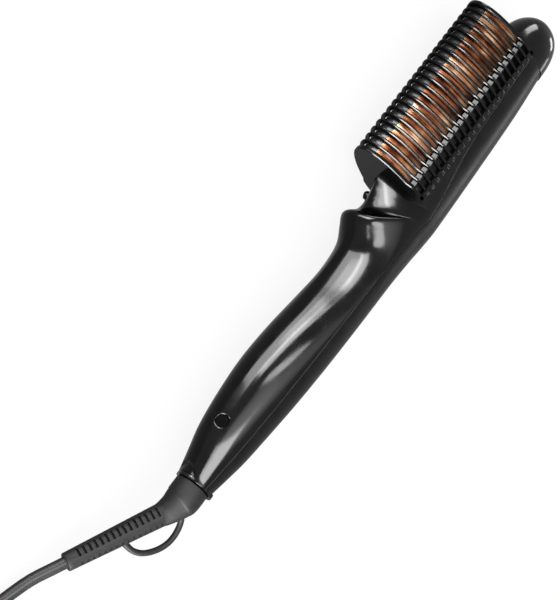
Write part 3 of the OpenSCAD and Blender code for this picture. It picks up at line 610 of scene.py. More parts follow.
# Where the two shells meet behind the axis
PARTING = [(SKIRT_Y, 0), (118, 0), (130, 1.4), (148, 3.4), (160, 4.2), (170, 3.2), (185, 0), (200, -2.4),
           (212, -3.2), (COMB_Y1, -3.2)]


def along(table, y, k=1):
    """Smooth curve through column k of a table of places."""
    i = 0
    while i < len(table) - 2 and table[i + 1][0] < y:
        i += 1
    a, b = table[i], table[i + 1]
    before, after = table[max(i - 1, 0)], table[min(i + 2, len(table) - 1)]
    d = b[0] - a[0]
    u = (y - a[0]) / d
    s0 = (b[k] - before[k]) / (b[0] - before[0])
    s1 = (after[k] - a[k]) / (after[0] - a[0])
    return (a[k] * (1 + 2 * u) * (1 - u) ** 2 + b[k] * u * u * (3 - 2 * u)
            + d * u * (1 - u) * (s0 * (1 - u) - s1 * u))


def power(value, exponent):
    """A power that keeps the sign."""
    return math.copysign(abs(value) ** exponent, value)


# Rounding of the shells' rims: the distance from the parting line and how far the rim sinks there
ROUND = 0.3
ROUNDING = [(ROUND, 0.0), (0.17, 0.03), (0.08, 0.1), (0.02, 0.19), (0.0, ROUND)]
FRONT_STEPS, FLANK_STEPS, BACK_STEPS = 40, 5, 36
FRONT_TURN = math.radians(80)


def flank(y, x, inset):
    """Half height of the body at x, near its sides."""
    half = along(STATIONS, y, 3) - inset
    if x < 0 and y > COMB_Y0:
        return half
    reach = along(STATIONS, y, 2 if x > 0 else 1) - inset
    e = 2 if x > 0 else along(STATIONS, y, 4)
    return half * max(1 - abs(x / reach) ** e, 0) ** (1 / e)


def edge_points(y, x_from, x_edge, inset, rounded):
    """From inside a flank to the parting line, its rim rounded: (x, half height)."""
    side = 1 if x_edge > x_from else -1
    last = x_edge - side * ROUND
    out = [(x_from + (last - x_from) * k / FLANK_STEPS) for k in range(1, FLANK_STEPS)]
    out = [(x, flank(y, x, inset)) for x in out]
    for d, sink in ROUNDING:
        x = x_edge - side * d
        out.append((x, flank(y, x, inset) - (sink if rounded else 0)))
    return out


# The scoop in the front shell's end, by its half turn, its length and its radius
NOTCH_TURN, NOTCH_Y, NOTCH_R = math.radians(38), 4.2, 8.85


def in_notch(y, a):
    """1 in the scoop at the front shell's end, on the side of the teeth, and 0 outside."""
    edge = 1 - math.hypot(a / NOTCH_TURN, max(y, 0) / NOTCH_Y)
    k = min(max(edge / 0.14 + 0.5, 0), 1)
    return k * k * (3 - 2 * k)


def scooped(y, a, x, z):
    """The place of a point of the front shell after the scoop is taken out: (x, y, z)."""
    k = in_notch(y, a)
    r = math.hypot(x, z)
    scale = 1 + (min(NOTCH_R, r) / r - 1) * k
    lift = k * max(0, 1 - (y - SKIRT_Y) / 4) * -SKIRT_Y
    return x * scale, y + lift, z * scale


def front_ring(y, inset=0.0, sink=0.0, seat=False):
    """Open ring of the front shell, from the lower parting over the teeth's side to the upper one."""
    outer = inset == 0
    f, h = along(STATIONS, y, 1) - inset - sink, along(STATIONS, y, 3) - inset - sink
    e = 2 / along(STATIONS, y, 4)
    slant, parting = along(SLANT, y), along(PARTING, y)
    middle = []
    if seat:
        k, s, l = SEAT_HALF - inset, SEAT_FRONT - inset, LEDGE_FRONT - inset
        corners = [((-l, -h), 5), ((-l, -k), 3), ((-s, -k), 24), ((-s, k), 3), ((-l, k), 5), ((-l, h), 0)]
        for (corner, count), (following, _) in zip(corners, corners[1:] + corners[-1:]):
            for i in range(max(count, 1)):
                t = i / max(count, 1)
                middle.append((corner[0] + (following[0] - corner[0]) * t, y,
                               corner[1] + (following[1] - corner[1]) * t))
        x_from = -l
    else:
        for i in range(FRONT_STEPS + 1):
            a = FRONT_TURN * (2 * i / FRONT_STEPS - 1)
            x, z = -f * math.cos(a) ** e, h * power(math.sin(a), e)
            py = y
            if outer and y < 12:
                x, py, z = scooped(y, a, x, z)
            elif y < 1:
                py = scooped(y, a, x, z)[1]
            middle.append((x, py + slant * math.sin(a) ** 4, z))
        x_from = middle[0][0]
    flank_points = edge_points(y, x_from, parting, inset, outer)
    shift = 0 if seat else slant
    upper = [(x, y + shift, z - sink) for x, z in flank_points]
    if seat:
        upper = [(x, py, h if x < 0 and i < FLANK_STEPS else z) for i, (x, py, z) in enumerate(upper)]
    lower = [(x, py, -z) for x, py, z in reversed(upper)]
    return lower + middle + upper


def back_ring(y, inset=0.0, sink=0.0):
    """Open ring of the back shell, from the upper parting over the back to the lower one."""
    gap = 0.12
    b, h = along(STATIONS, y, 2) - inset - sink, along(STATIONS, y, 3) - inset - sink
    parting = along(PARTING, y) + gap
    slant = along(SLANT, y)
    turn = math.acos((parting + 1.2) / b)
    middle = []
    for i in range(BACK_STEPS + 1):
        a = turn * (1 - 2 * i / BACK_STEPS)
        z = h * math.sin(a) if math.cos(a) > 0 else math.copysign(h, a)
        middle.append((b * math.cos(a), y + slant * math.sin(a) ** 4, z))
    x_from = middle[0][0]
    points = [(x, z - sink) for x, z in edge_points(y, x_from, parting, inset, inset == 0)]
    upper = [(x, y + slant, z) for x, z in reversed(points)]
    lower = [(x, py, -z) for x, py, z in reversed(upper)]
    return upper + middle + lower


def spread(start, end, steps):
    return [start + (end - start) * i / steps for i in range(steps + 1)]


# The skirt's rounded lip and the rows of the handle: (place, sunk by, wall)
LIP = ([(SKIRT_Y, 0.16, 0.06), (-1.84, 0.07, 0.15), (-1.7, 0.02, 0.2)]
       + [(y, 0.0, SKIRT_WALL) for y in (-1.5, -1.0, -0.5, -0.05)] + [(0.0, 0.0, WALL)])
HANDLE_YS = ([0.35 * i for i in range(1, 18)] + spread(6.5, 118, 38)[1:]
             + spread(119.4, COMB_Y0 - WALL, 54))


def cross_lathe(profile, y, sides=32, closed=True):
    """A round piece across the body. profile holds (radius, reach)."""
    return lathe(profile, lambda r, q, a: (-q, y + r * math.cos(a), r * math.sin(a)), sides, closed)


SCREW_YS = (92, HANDLE_L + 10)
SCREW_R, HEAD_R, HEAD_T, BOSS_WALL, SCREW_BITE, HEAD_DEPTH = 1.3, 2.6, 1.6, 1.6, 6, 3.4
CROSS_W, CROSS_L = 0.64, 3


def head_seat(y):
    return -along(STATIONS, y, 2) + HEAD_DEPTH


def button_frame():
    """Origin on the handle's face under the button, with the directions out of it and across."""
    turn = math.radians(BUTTON_TURN)
    f, h = along(STATIONS, BUTTON_Y, 1), along(STATIONS, BUTTON_Y, 3)
    depth = math.hypot(f * math.cos(turn), h * math.sin(turn))
    origin = Vector((-f * f * math.cos(turn) / depth, BUTTON_Y, h * h * math.sin(turn) / depth))
    out = Vector((-math.cos(turn), 0, math.sin(turn)))
    return origin, out, out.cross(Vector((0, 1, 0)))


# Radius of the handle across the button
HANDLE_TURN = 13


def button_lathe(profile, closed, droop=0.0):
    """A round piece in the button's frame. profile holds (radius, height over the face).

    With a droop, the handle's radius there, its upper part follows the handle's curve."""
    origin, out, across = button_frame()
    along_y = Vector((0, 1, 0))

    def point(r, h, a):
        sunk = (r * math.sin(a)) ** 2 / (2 * droop) if droop and h > -1 else 0
        return tuple(origin + (h - sunk) * out + r * (math.cos(a) * along_y + math.sin(a) * across))

    return lathe(profile, point, closed=closed)


def make_front_shell():
    """Front half: handle, thumb stop, neck and the seat under the comb."""
    outer = [front_ring(y, 0, sink) for y, sink, _ in LIP] + [front_ring(y) for y in HANDLE_YS]
    inner = [front_ring(y, wall) for y, _, wall in LIP] + [front_ring(y, WALL) for y in HANDLE_YS]
    neck_end = front_ring(COMB_Y0)
    seat_in = front_ring(COMB_Y0, WALL, seat=True)
    outer.append(outer[-1])
    inner.append([(x, COMB_Y0 - WALL, z) for x, _, z in seat_in])
    outer.append(neck_end)
    inner.append(seat_in)
    for y in [COMB_Y0 + 0.01] + spread(COMB_Y0, COMB_Y1, 12)[1:]:
        outer.append(front_ring(y, seat=True))
        inner.append(front_ring(y, WALL, seat=True))
    parts = [wall_loft(outer, inner)]
    bore, around = SCREW_R + FIT / 2, SCREW_R + FIT + BOSS_WALL
    for y in SCREW_YS:
        top = along(STATIONS, y, 1) - WALL / 2
        parts.append(cross_lathe([(bore, 0), (around, 0), (around, top), (bore, top)], y))
    lug = smooth([(-7.5, 159, -10.5, 2.4), (-9.6, 158.6, -12, 2.4), (-11.6, 158.2, -13.4, 2.2),
                  (-12.4, 158.1, -13.9, 1.7), (-12.8, 158, -14.2, 0.7)], 3)
    solid("neck_lug", [tube([p[:3] for p in lug], [p[3] for p in lug], 20)], "housing", "handle")
    shell = solid("front_shell_skin", parts, "housing", "handle", ["front_shell"])
    r = BUTTON_R + BEZEL_W + FIT / 2
    cut(shell, [button_lathe([(r, -6), (r, 4)], False)])


def make_back_shell():
    """Back half, with the two sunk screw seats."""
    ys = HANDLE_YS + spread(COMB_Y0 - 0.6, COMB_Y1, 26)
    outer = [back_ring(y, 0, sink) for y, sink, _ in LIP] + [back_ring(y) for y in ys]
    inner = [back_ring(y, wall) for y, _, wall in LIP] + [back_ring(y, WALL) for y in ys]
    shell = solid("back_shell_skin", [wall_loft(outer, inner)], "back", "handle", ["back_shell"])
    hole, bore = HEAD_R + FIT, SCREW_R + FIT / 2
    rim = hole + BOSS_WALL
    holes, sleeves = [], []
    for y in SCREW_YS:
        seat = head_seat(y)
        mouth = seat - HEAD_DEPTH + 0.35
        holes.append(cross_lathe([(hole, seat - 3 - WALL), (hole, seat - 0.2)], y, closed=False))
        sleeves.append(cross_lathe([(hole, mouth + 0.3), (hole + 0.3, mouth), (rim, mouth),
                                    (rim, seat + WALL), (bore, seat + WALL), (bore, seat), (hole, seat)], y))
    cut(shell, holes)
    solid("back_screw_seats", sleeves, "back", "handle")


# The cap's reach at its foot, how square it is, and how far its skin stands out past the solid's
TIP_FRONT, TIP_ROUND, TIP_MORE = 14, 2.2, 1.4


def make_tip_cap():
    """Rounded tip that closes the bar."""
    steps, sides = 26, 72

    def row(u, length, inset):
        k = max((1 - u ** 2.7) ** (1 / 2.35), 0.03)
        front = (TIP_FRONT - inset) * k * min(1, 0.86 + u * 1.2)
        back, half = (BAR_BACK - inset) * k, (BAR_HALF - inset) * k
        ring = []
        for a in full_turn(sides):
            x = -power(math.cos(a), 2 / TIP_ROUND)
            ring.append((x * (front if x < 0 else back), COMB_Y1 + length * u,
                         half * power(math.sin(a), 2 / TIP_ROUND)))
        return ring

    shares = [math.sin(math.pi / 2 * i / steps) for i in range(steps + 1)]
    outer = [row(u, NOSE_L + TIP_MORE, 0) for u in shares]
    inner = [row(u, NOSE_L - WALL, WALL) for u in shares]
    solid("tip_cap_skin", [loft(inner[::-1] + outer)], "housing", "handle", ["tip_cap"])


# Comb
def ellipse_arc(front, half, q0, z, n):
    """From a reach on an ellipse to where it comes within z of the middle plane."""
    a0, a1 = math.acos(q0 / front), math.asin(z / half)
    turns = [a0 + (a1 - a0) * i / n for i in range(n + 1)]
    return [(front * math.cos(a), half * math.sin(a)) for a in turns]


def on_ellipse(front, half, q):
    return half * math.sqrt(max(1 - (q / front) ** 2, 0))


# Reach where a foot's sweep meets the fin's ellipse
SWEEP_FRONT = VALLEY_FRONT + 1.2


def foot_curve():
    """The rim's sweep from the foot out to the ellipse."""
    valley = on_ellipse(COMB_FRONT, COMB_HALF, SWEEP_FRONT)
    return smooth([(FOOT_FRONT - 0.6, COMB_HALF), (FOOT_FRONT + 0.35, COMB_HALF - 0.5),
                   (SWEEP_FRONT, valley)], 4)[:-1]


# Reach below which the posts under the feet keep sharp rims
POST_RIM = 12.2
FIN_CHAMFER = 0.36


def on_post(start, end):
    return max(start[0], end[0]) < POST_RIM + 0.01


def on_post_or_middle(start, end):
    return on_post(start, end) or abs(start[1]) + abs(end[1]) < 1e-6


def fin_outline():
    shoulder = SHOULDER_HALF + SHOULDER_T / 2
    return ([(LEDGE_FRONT + 1, shoulder), (LEDGE_FRONT + 1, COMB_HALF), (POST_RIM, COMB_HALF)] + foot_curve()
            + ellipse_arc(COMB_FRONT, COMB_HALF, SWEEP_FRONT, TIP_NOTCH / 2, 30)
            + ellipse_arc(INNER_FRONT, INNER_HALF, PLATE_LOW, TIP_NOTCH / 2, 26)[::-1]
            + [(PLATE_LOW, shoulder)])


def end_outline():
    return ([(SEAT_FRONT, 0), (SEAT_FRONT, SEAT_HALF + FIT), (LEDGE_FRONT, SEAT_HALF + FIT),
             (LEDGE_FRONT, COMB_HALF), (POST_RIM, COMB_HALF)] + foot_curve()
            + ellipse_arc(COMB_FRONT, COMB_HALF, SWEEP_FRONT, 0, 32))


def rail_outline():
    top = PLATE_LOW - FIT
    return [(LEDGE_FRONT, SEAT_HALF + FIT), (LEDGE_FRONT, COMB_HALF), (LEDGE_FRONT + RAIL_H, COMB_HALF),
            (LEDGE_FRONT + RAIL_H, SHOULDER_HALF + SHOULDER_T), (top, SHOULDER_HALF + SHOULDER_T),
            (top, SHOULDER_HALF), (SEAT_FRONT, SHOULDER_HALF), (SEAT_FRONT, SEAT_HALF + FIT)]


# Outline of the wedge between two fins' feet, by reach and height
WEDGE = [(12.8, 15.2), (13.2, 15.9), (13.8, 15.8), (15.4, 14.2), (15.3, 13.8), (14.2, 13.5)]
WEDGE_TILT = 0.2
PAD_R, PAD_FROM, PAD_TO = 0.75, 5.0, 7.6


def guard_parts():
    """Fins on their rail, a plate at each end, a sloping wedge between neighbours and a pad at each foot."""
    parts = [slab(rail_outline(), COMB_Y0 + 0.05, COMB_L - 0.1, 0.25)]
    for y in (COMB_Y0, COMB_Y1 - END_T):
        parts.append(slab(end_outline(), y, END_T, 0.3, 2, on_post_or_middle, chamfer=FIN_CHAMFER))
    fin = slab(fin_outline(), 0, FIN_T, 0.2, 1, on_post, chamfer=FIN_CHAMFER)
    pad = tube([(-q, 0, COMB_HALF - 0.5) for q in (PAD_FROM, PAD_FROM + 0.25, PAD_TO)],
               [PAD_R - 0.25, PAD_R, PAD_R], 20)
    gap = FIN_PITCH - FIN_T + 0.1
    wedge = loft([[(-q - d, side * gap / 2, z + d) for q, z in WEDGE]
                  for side, d in ((-1, -WEDGE_TILT), (1, WEDGE_TILT))])
    for i in range(FIN_COUNT + 1):
        middle = COMB_Y0 + END_T / 2 + i * FIN_PITCH
        parts.append(shifted(wedge, middle + FIN_PITCH / 2))
        if i:
            parts.append(shifted(fin, middle - FIN_T / 2))
            parts.append(shifted(pad, middle))
    return parts


def both_sides(node, shown, parts, finish):
    """An upper piece and its mirror image below, each for the node of its side."""
    for side, side_parts in (("upper", parts), ("lower", [mirrored(p) for p in parts])):
        name = "%s_%s" % (node, side)
        solid("%s_%s" % (name, shown), side_parts, finish, "handle", [name])


def plate_parts():
    """Curved heating plate with the pad and the webs that press on the heater."""
    top = on_ellipse(PLATE_FRONT, PLATE_HALF, PLATE_HIGH)
    inner_front, inner_half = PLATE_FRONT - PLATE_T, PLATE_HALF - PLATE_T
    inner_top = on_ellipse(inner_front, inner_half, PLATE_HIGH)
    skin = (ellipse_arc(PLATE_FRONT, PLATE_HALF, PLATE_LOW, top, 40)
            + ellipse_arc(inner_front, inner_half, PLATE_LOW, inner_top, 40)[::-1])
    pad_z, pad_low, pad_high = PTC_T / 2 + SHEET_T, PLATE_LOW + 1.6, PLATE_LOW + PTC_H
    end = STACK_Y0 + STACK_L
    parts = [slab(skin, STACK_Y0, STACK_L, 0.15, 1),
             rounded_box((-pad_high, STACK_Y0, pad_z), (-pad_low, end, pad_z + PAD_T), 0.25)]
    for q in (pad_low + 3, pad_high - WEB_T):
        reach = on_ellipse(PLATE_FRONT, PLATE_HALF, q + WEB_T) - PLATE_T / 2
        parts.append(rounded_box((-q - WEB_T, STACK_Y0, pad_z + 0.3), (-q, end, reach), 0.15, 1))
    return parts


def make_ridge_strip():
    """Dark strip that closes the stack under the fins' tips."""
    top = on_ellipse(PLATE_FRONT, PLATE_HALF, PLATE_HIGH)
    arc = ellipse_arc(PLATE_FRONT, PLATE_HALF, PLATE_HIGH, 0, 12)
    outline = arc + [(q, -z) for q, z in reversed(arc[:-1])]
    outline += [(PLATE_HIGH - 0.01, -top + 0.4), (PLATE_HIGH - 0.01, top - 0.4)]
    strip = slab(outline, STACK_Y0, STACK_L, 0.15, 1)
    solid("ridge_strip_skin", [strip], "ridge", "handle", ["ridge_strip"])


# Button, collar and boot
def make_button():
    """Push button with a dished face, its flange and plunger, and the ring round it."""
    foot, flange_t, flange_r = BEZEL_L + FIT, 1, BUTTON_R + BEZEL_W + 0.2
    plunger = foot + flange_t + 1.2
    face = -BUTTON_RECESS - 0.25
    low = -foot - flange_t
    profile = [(0.02, face - 0.12), (0.9, face - 0.11), (1.7, face - 0.06), (2.3, face),
               (BUTTON_R - 0.35, face), (BUTTON_R - 0.12, face - 0.06), (BUTTON_R, face - 0.3),
               (BUTTON_R, -foot), (flange_r - 0.1, -foot), (flange_r, -foot - 0.1), (flange_r, low + 0.1),
               (flange_r - 0.1, low), (1.2, low), (1.2, -plunger + 0.2), (1.0, -plunger), (0.02, -plunger)]
    solid("power_button_cap", [button_lathe(profile, False)], "button", "button", ["power_button"], 28)
    inner, outer = BUTTON_R + BUTTON_GAP, BUTTON_R + BEZEL_W
    top = 0.04
    bezel = [(inner, -BEZEL_L), (outer, -BEZEL_L), (outer, -0.2), (outer, top - 0.03), (outer - 0.04, top),
             (inner + 0.22, top), (inner + 0.15, top - 0.04), (inner + 0.06, top - 0.12),
             (inner, top - 0.26)]
    ring = button_lathe(bezel, True, droop=HANDLE_TURN)
    solid("button_bezel_ring", [ring], "housing", "handle", ["button_bezel"], 30)


def make_collar():
    """Thin metal ring on the collar."""
    r, inner, w = COLLAR_R, COLLAR_R - RING_T, COLLAR_W
    profile = [(inner, -w), (r - 0.3, -w), (r - 0.08, -w + 0.1), (r, -w + 0.35), (r, -0.35),
               (r - 0.08, -0.1), (r - 0.3, 0), (inner, 0)]
    solid("collar_ring_band", [lathe(profile, sides=96)], "ring", "handle", ["collar_ring"], 40)


RELIEF_START, RELIEF_END = Vector((-3, -21, -2)), Vector((-22.4, -62.4, -9))
RELIEF_L = (RELIEF_END - RELIEF_START).length
RELIEF_ALONG = (RELIEF_END - RELIEF_START).normalized()
RELIEF_R0, RELIEF_R1 = 5.2, 4.2
BOOT_R = 8.1
SLOT_COUNT, SLOT_PITCH, SLOT_W, SLOT_L, SLOT_D = 15, 2.75, 1.2, 4, 1.2
# One row of slots faces the teeth's side and up, the others lie a quarter turn apart
SLOT_TURN = math.radians(-41.7)


def make_boot():
    """Soft boot that swings off the axis and narrows to the strain relief."""
    before = RELIEF_START - 2.4 * RELIEF_ALONG
    path = [(0, BOOT_Y, 0, BOOT_R), (0, -9, 0, BOOT_R), (-0.3, -12, -0.4, BOOT_R - 0.6),
            (-1, -15.4, -0.9, BOOT_R - 1.6), (*before, RELIEF_R0 + 0.5), (*RELIEF_START, RELIEF_R0)]
    curve = smooth(path, 7)
    rim = [(0, BOOT_Y, 0, BOOT_R - 0.5), (0, BOOT_Y - 0.1, 0, BOOT_R - 0.2), (0, BOOT_Y - 0.4, 0, BOOT_R)]
    curve = rim + [c for c in curve if c[1] < BOOT_Y - 0.6]
    part = tube([c[:3] for c in curve], [c[3] for c in curve], 48)
    solid("cord_boot_skin", [part], "boot", "swivel_cord", ["cord_boot"])


def relief_turns():
    """Angles round the relief that fall on the slots' edges."""
    reach = math.asin(SLOT_L / 2 / (RELIEF_R1 + 0.3))
    shares = [-1, -0.96, -0.6, 0, 0.6, 0.96, 1]
    out = []
    for quarter in range(4):
        middle = SLOT_TURN + quarter * math.pi / 2
        out += [middle + reach * s for s in shares]
        out += [middle + math.pi / 4 + (math.pi / 4 - reach) * s for s in (-0.5, 0, 0.5)]
    return out, reach


def make_strain_relief():
    """Slotted, tapered relief."""
    turns, reach = relief_turns()
    first = RELIEF_L - 4 - SLOT_COUNT * SLOT_PITCH
    (_, u, w), _ = frames([RELIEF_START, RELIEF_END])
    stations = [(0, False), (first * 0.5, False)]
    for i in range(SLOT_COUNT):
        s = first + i * SLOT_PITCH
        stations += [(s, False), (s + 0.08, True), (s + SLOT_W - 0.08, True), (s + SLOT_W, False)]
    stations += [(RELIEF_L - 2, False), (RELIEF_L - 0.5, False)]

    def ring_at(s, r, slotted=False):
        ring = []
        for a in turns:
            off = (a - SLOT_TURN + math.pi / 4) % (math.pi / 2) - math.pi / 4
            deep = slotted and abs(off) < reach * 0.97
            out = min((r - SLOT_D) / math.cos(off), r) if deep else r
            ring.append(RELIEF_START + s * RELIEF_ALONG + out * (math.cos(a) * u + math.sin(a) * w))
        return ring

    taper = (RELIEF_R1 - RELIEF_R0) / RELIEF_L
    rings = [ring_at(s, RELIEF_R0 + taper * s, slotted) for s, slotted in stations]
    rings += [ring_at(RELIEF_L - 0.15, RELIEF_R1 - 0.15), ring_at(RELIEF_L, RELIEF_R1 - 0.5)]
    solid("strain_relief_skin", [loft(rings)], "boot", "swivel_cord", ["strain_relief"], 30)


def make_hang_loop():
    """Hanging loop, which grows out of the boot and back into the relief."""
    path = [(4.6, -12.6, -2), (6.8, -14.6, -2.1), (9, -17.6, -2.4), (10.4, -21.8, -2.8), (10.6, -26.2, -3.2),
            (9.3, -30.6, -3.6), (6.6, -34.8, -4), (3.2, -38, -4.4), (-1, -39.8, -4.7), (-5.4, -40, -4.9),
            (-9.6, -39.4, -5)]
    curve = smooth(path, 6)
    n = len(curve) - 1
    radii = []
    for i in range(n + 1):
        end = min(i, n - i) / 6
        radii.append(1.4 + 0.5 * max(0, 1 - end / 2) ** 2)
    solid("hang_loop_skin", [tube(curve, radii, 20)], "boot", "swivel_cord", ["hang_loop"])


# Cord
HANK = dict(loops=5, rings=24, fold=8, run=4, x=-5, y=-181, length=84, r=16.4, step=6.3, rise=5.9, draw=7,
            straight=6)
TURN_BACK = 2.5 + HANK["run"] / HANK["rings"] / 2
TIE_T, TIE_W = 0.8, 8
LOWER_Z = FLOOR_Z + TIE_T + FIT + CORD_D / 2


def fold_r(s):
    return HANK["r"] + HANK["step"] * abs(s - TURN_BACK)


def hank_point(k):
    """Point k of the hank: two layers, which spiral in, climb along a run and spiral out."""
    rings, fold, run = HANK["rings"], HANK["fold"], HANK["run"]
    s, half, u = k / rings, run + fold, k % rings
    v = u % half
    r = fold_r(s)
    if v < run:
        y = HANK["length"] * (0.5 - v / run)
        x = HANK["draw"] * (1 + math.cos(2 * math.pi * y / HANK["length"])) / 2 - r
    else:
        turn = math.pi * (v - run) / fold
        y = -HANK["length"] / 2 - r * math.sin(turn)
        x = -r * math.cos(turn)
    side = 1 if u < half else -1
    climbed = min(max((s - 2.5) * rings / run, 0), 1)
    return (HANK["x"] + side * x, HANK["y"] + side * y, LOWER_Z + HANK["rise"] * climbed)


PLUG_X, PLUG_Y, PLUG_Z = PLUG_PLACE = (-27, -200, 3.8)


def cord_route():
    """The whole cord: from the relief down to the ground, through the hank and up to the plug."""
    turns = [hank_point(k) for k in range(HANK["loops"] * HANK["rings"] + 1)]
    straight = HANK["straight"]
    start = (turns[0][0], turns[0][1] + straight, turns[0][2])
    end = (turns[-1][0], turns[-1][1] - straight, turns[-1][2])
    run = [tuple(RELIEF_END - 3 * RELIEF_ALONG), tuple(RELIEF_END + 6 * RELIEF_ALONG), (-28.8, -77, -12),
           (-32, -88, -13.4), (-34.8, -99, -14.2), (-36.6, -110, -14.3), (-37.5, -122, -13.8), start]
    tail = [end, (end[0], end[1] - straight, end[2]), (-35.4, -158, -6), (-33.4, -166, -3.2),
            (-30.8, -174, 0), (-28.6, -182, 2.8), (-27.4, -189, 3.7), (-27, -194, 3.8), PLUG_PLACE]
    return run + turns + tail


def make_cord():
    """The whole cord as one smooth curve: (object, where it leaves the relief, length)."""
    route = smooth(cord_route(), 3)
    data = bpy.data.curves.new("cord_line", "CURVE")
    data.dimensions = "3D"
    data.bevel_depth = CORD_D / 2 * MM
    data.bevel_resolution = 6
    data.use_fill_caps = True
    spline = data.splines.new("POLY")
    spline.points.add(len(route) - 1)
    for point, place_mm in zip(spline.points, route):
        point.co = (*at(*place_mm), 1)
    spline.use_smooth = True
    cord = bpy.data.objects.new("cord_line", data)
    bpy.context.collection.objects.link(cord)
    place(cord, "cord", "swivel_cord", ["cord_run", "cord_hank", "cord_tail"])
    length = sum((Vector(a) - Vector(b)).length for a, b in zip(route, route[1:]))
    return cord, tuple(at(*route[0])), length * MM


def band(width, height, t, corner, y0, y1, x0, z0):
    """A flat band bent round a block, with round corners."""

    def outline(grow):
        r = corner + grow
        w, h = width / 2 + grow, height / 2 + grow
        points = []
        for i, (sx, sz) in enumerate(((1, 1), (-1, 1), (-1, -1), (1, -1))):
            for k in range(7):
                a = math.radians(90 * i + 15 * k)
                points.append((x0 + sx * (w - r) + r * math.cos(a), z0 + sz * (h - r) + r * math.sin(a)))
        return points

    inner, outer = outline(0), outline(t)
    e = 0.15
    rings = [(inner, y0), (outer, y0 + e), (outer, y1 - e), (inner, y1)]
    rings = [[(x, y, z) for x, z in ring] for ring, y in rings]
    return loft(rings + [rings[0]], caps=False)


def make_tie():
    """Band round the hank's waist with its loose end and a lock."""
    left = fold_r(0) - HANK["draw"] + CORD_D / 2 + FIT
    right = fold_r(0.5) - HANK["draw"] + CORD_D / 2 + FIT
    high = HANK["rise"] + CORD_D + 2 * FIT
    x0, z0 = HANK["x"] + (right - left) / 2, FLOOR_Z + TIE_T + high / 2
    y0, y1 = HANK["y"] - TIE_W / 2, HANK["y"] + TIE_W / 2
    parts = [band(left + right, high, TIE_T, 1.2, y0, y1, x0, z0)]
    top = FLOOR_Z + high + 2 * TIE_T
    parts.append(rounded_box((x0 - 16, y0 + 1.2, top - 0.1), (x0 + 6, y1 - 1.2, top + 0.7), 0.3))
    parts.append(rounded_box((x0 + 1, y0 - 0.8, top - 0.4), (x0 + 6, y1 + 0.8, top + 1.9), 0.6, 3))
    return solid("cord_tie_band", parts, "tie", "swivel_cord", ["cord_tie"])


PLUG_NECK, PLUG_W, PLUG_L, PLUG_T = 10, 26, 30, 17
BLADE_L, BLADE_W, BLADE_T, BLADE_SPACING = 16, 6.3, 1.5, 12.7


def plug_section(w, t, y, e):
    """A ring across the plug, from round (e = 1) to nearly square."""
    return [(PLUG_X + w * power(math.cos(a), e), PLUG_Y - y, PLUG_Z + t * power(math.sin(a), e))
            for a in full_turn(48)]


def make_plug():
    """Moulded two-pin plug: grip waist, ridges and a ribbed neck."""
    w, t = PLUG_W / 2, PLUG_T / 2
    n, end = PLUG_NECK, PLUG_NECK + PLUG_L
    rings = []
    for y, r in [(0, 3.2), (0.3, 3.6)] + [(1 + 1.2 * i + d, 3.7 + 0.16 * i + s) for i in range(6)
                                          for d, s in ((0, 0.3), (0.5, 0.3), (0.6, -0.1), (1.1, -0.1))]:
        rings.append(plug_section(r, r, y, e=1))
    shape = [(n - 0.6, 5.2, 5), (n + 0.6, 6.2, 5.6), (n + 3, 8.6, 6.6), (n + 7, 11.6, 7.9),
             (n + 10, 12.6, t - 0.2), (n + 14, 12.4, t - 0.5), (n + 18, 12.2, t - 0.7),
             (n + 22, 12.4, t - 0.5), (n + 26, w - 0.1, t), (end - 1.6, w, t),
             (end - 0.5, w - 0.3, t - 0.3), (end, w - 1.2, t - 1.2)]
    shape = smooth(shape, 3)
    for y, a, b in shape:
        share = min(max((y - n) / 8, 0), 1)
        rings.append(plug_section(a, b, y, e=2 / (2 + 2.5 * share)))
    parts = [loft(rings)]
    for i in range(5):
        y = PLUG_Y - n - 12.5 - 2.4 * i
        for s in (-1, 1):
            z = PLUG_Z + s * (t - 0.75)
            low, high = sorted((z, z + s * 0.75))
            parts.append(rounded_box((PLUG_X - 8.5, y - 0.55, low), (PLUG_X + 8.5, y + 0.55, high), 0.3))
    return solid("plug_shell", parts, "plug", "swivel_cord", ["plug_body"])


def make_blades():
    """Two flat blades with rounded ends and a hole each."""
    y0 = PLUG_Y - PLUG_NECK - PLUG_L
    half, tip = BLADE_W / 2, BLADE_L
    outline = [(-0.02, -half), (tip - 1.6, -half), (tip - 0.5, -half + 0.5), (tip, -half + 1.5),
               (tip, half - 1.5), (tip - 0.5, half - 0.5), (tip - 1.6, half), (-0.02, half)]
    parts = []
    for s in (-1, 1):
        x = PLUG_X + s * BLADE_SPACING / 2
        bm = bmesh.new()
        low = [bm.verts.new((x - BLADE_T / 2, y0 - a, PLUG_Z + z)) for a, z in outline]
        high = [bm.verts.new((x + BLADE_T / 2, y0 - a, PLUG_Z + z)) for a, z in outline]
        n = len(outline)
        rims = [bm.faces.new(low), bm.faces.new(high[::-1])]
        for i in range(n):
            bm.faces.new((low[i], high[i], high[(i + 1) % n], low[(i + 1) % n]))
        edges = [e for f in rims for e in f.edges]
        bmesh.ops.bevel(bm, geom=edges, offset=0.25, segments=2, profile=0.5, affect="EDGES")
        bm.verts.index_update()
        parts.append(mesh_part(bm))
    blades = solid("plug_blade_pair", parts, "blade", "swivel_cord", ["plug_blades"])

    def across(r, h, a):
        return h, y0 - BLADE_L + 4 + r * math.cos(a), PLUG_Z + r * math.sin(a)

    middles = [PLUG_X + s * BLADE_SPACING / 2 for s in (-1, 1)]
    cut(blades, [lathe([(1.5, x - 2), (1.5, x + 2)], across, 24, closed=False) for x in middles])
    return blades


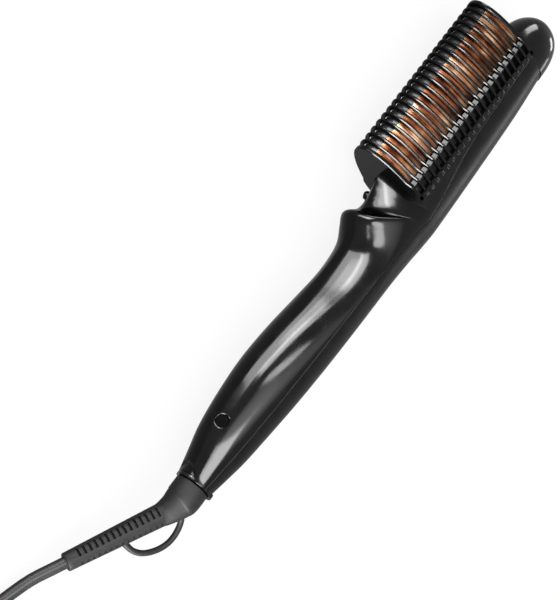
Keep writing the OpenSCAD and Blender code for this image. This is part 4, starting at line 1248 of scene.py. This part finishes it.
# Screws and the nodes that stay
def make_screws():
    """Cross-headed screws that hold the shells."""
    parts = []
    for y in SCREW_YS:
        seat = head_seat(y)
        top = seat - HEAD_T
        parts.append(cross_lathe([(0.02, top), (HEAD_R - 0.7, top), (HEAD_R - 0.25, top + 0.15),
                                  (HEAD_R, top + 0.6), (HEAD_R, seat), (SCREW_R, seat),
                                  (SCREW_R, SCREW_BITE - 1), (0.3, SCREW_BITE), (0.02, SCREW_BITE)],
                                 y, 40, closed=False))
    screws = solid("shell_screw_set", parts, "screw", "handle", ["shell_screws"])
    half, long = CROSS_W / 2, CROSS_L / 2
    for y in SCREW_YS:
        x = HEAD_T - head_seat(y)
        cut(screws, [rounded_box((x - 0.9, y - long, -half), (x + 0.5, y + long, half), 0.1, 1)])
        cut(screws, [rounded_box((x - 0.91, y - half, -long), (x + 0.51, y + half, long), 0.1, 1)])


STAYING = {
    "socket": ["comb_base", "swivel_socket", "swivel_stem"], "carrier": ["heater_carrier", "contact_holder"],
    "ptc": ["ptc_heaters"], "insulation": ["insulation_sheets"], "sensor": ["thermistor"],
    "fuse": ["thermal_fuse"], "board": ["control_board"], "capacitor": ["capacitor"],
    "component": ["tact_switch", "control_chip", "triac"], "screw": ["comb_screws"],
    "contact": ["contact_rings", "contact_brushes"], "wire": ["internal_wires"]}


def finish_nodes():
    """Materials for the CAD nodes that stay."""
    for finish, names in STAYING.items():
        for name in names:
            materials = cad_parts[name].data.materials
            materials.clear()
            materials.append(FINISHES[finish][0])


# Scene
scene = bpy.context.scene
scene.view_settings.view_transform = "Standard"
FINISHES = make_finishes()
make_camera()
make_world(ambient=0.85)
make_floor(eye=0.86, mirror=0.45, tone=0.2)
make_lights()
cord, cord_exit, cord_length = make_cord()
tie, plug, blades = make_tie(), make_plug(), make_blades()
make_front_shell()
make_back_shell()
make_tip_cap()
both_sides("comb_guard", "fins", guard_parts(), "guard")
both_sides("heating_plate", "skin", plate_parts(), "copper")
make_ridge_strip()
make_button()
make_collar()
make_boot()
make_strain_relief()
make_hang_loop()
make_screws()
finish_nodes()
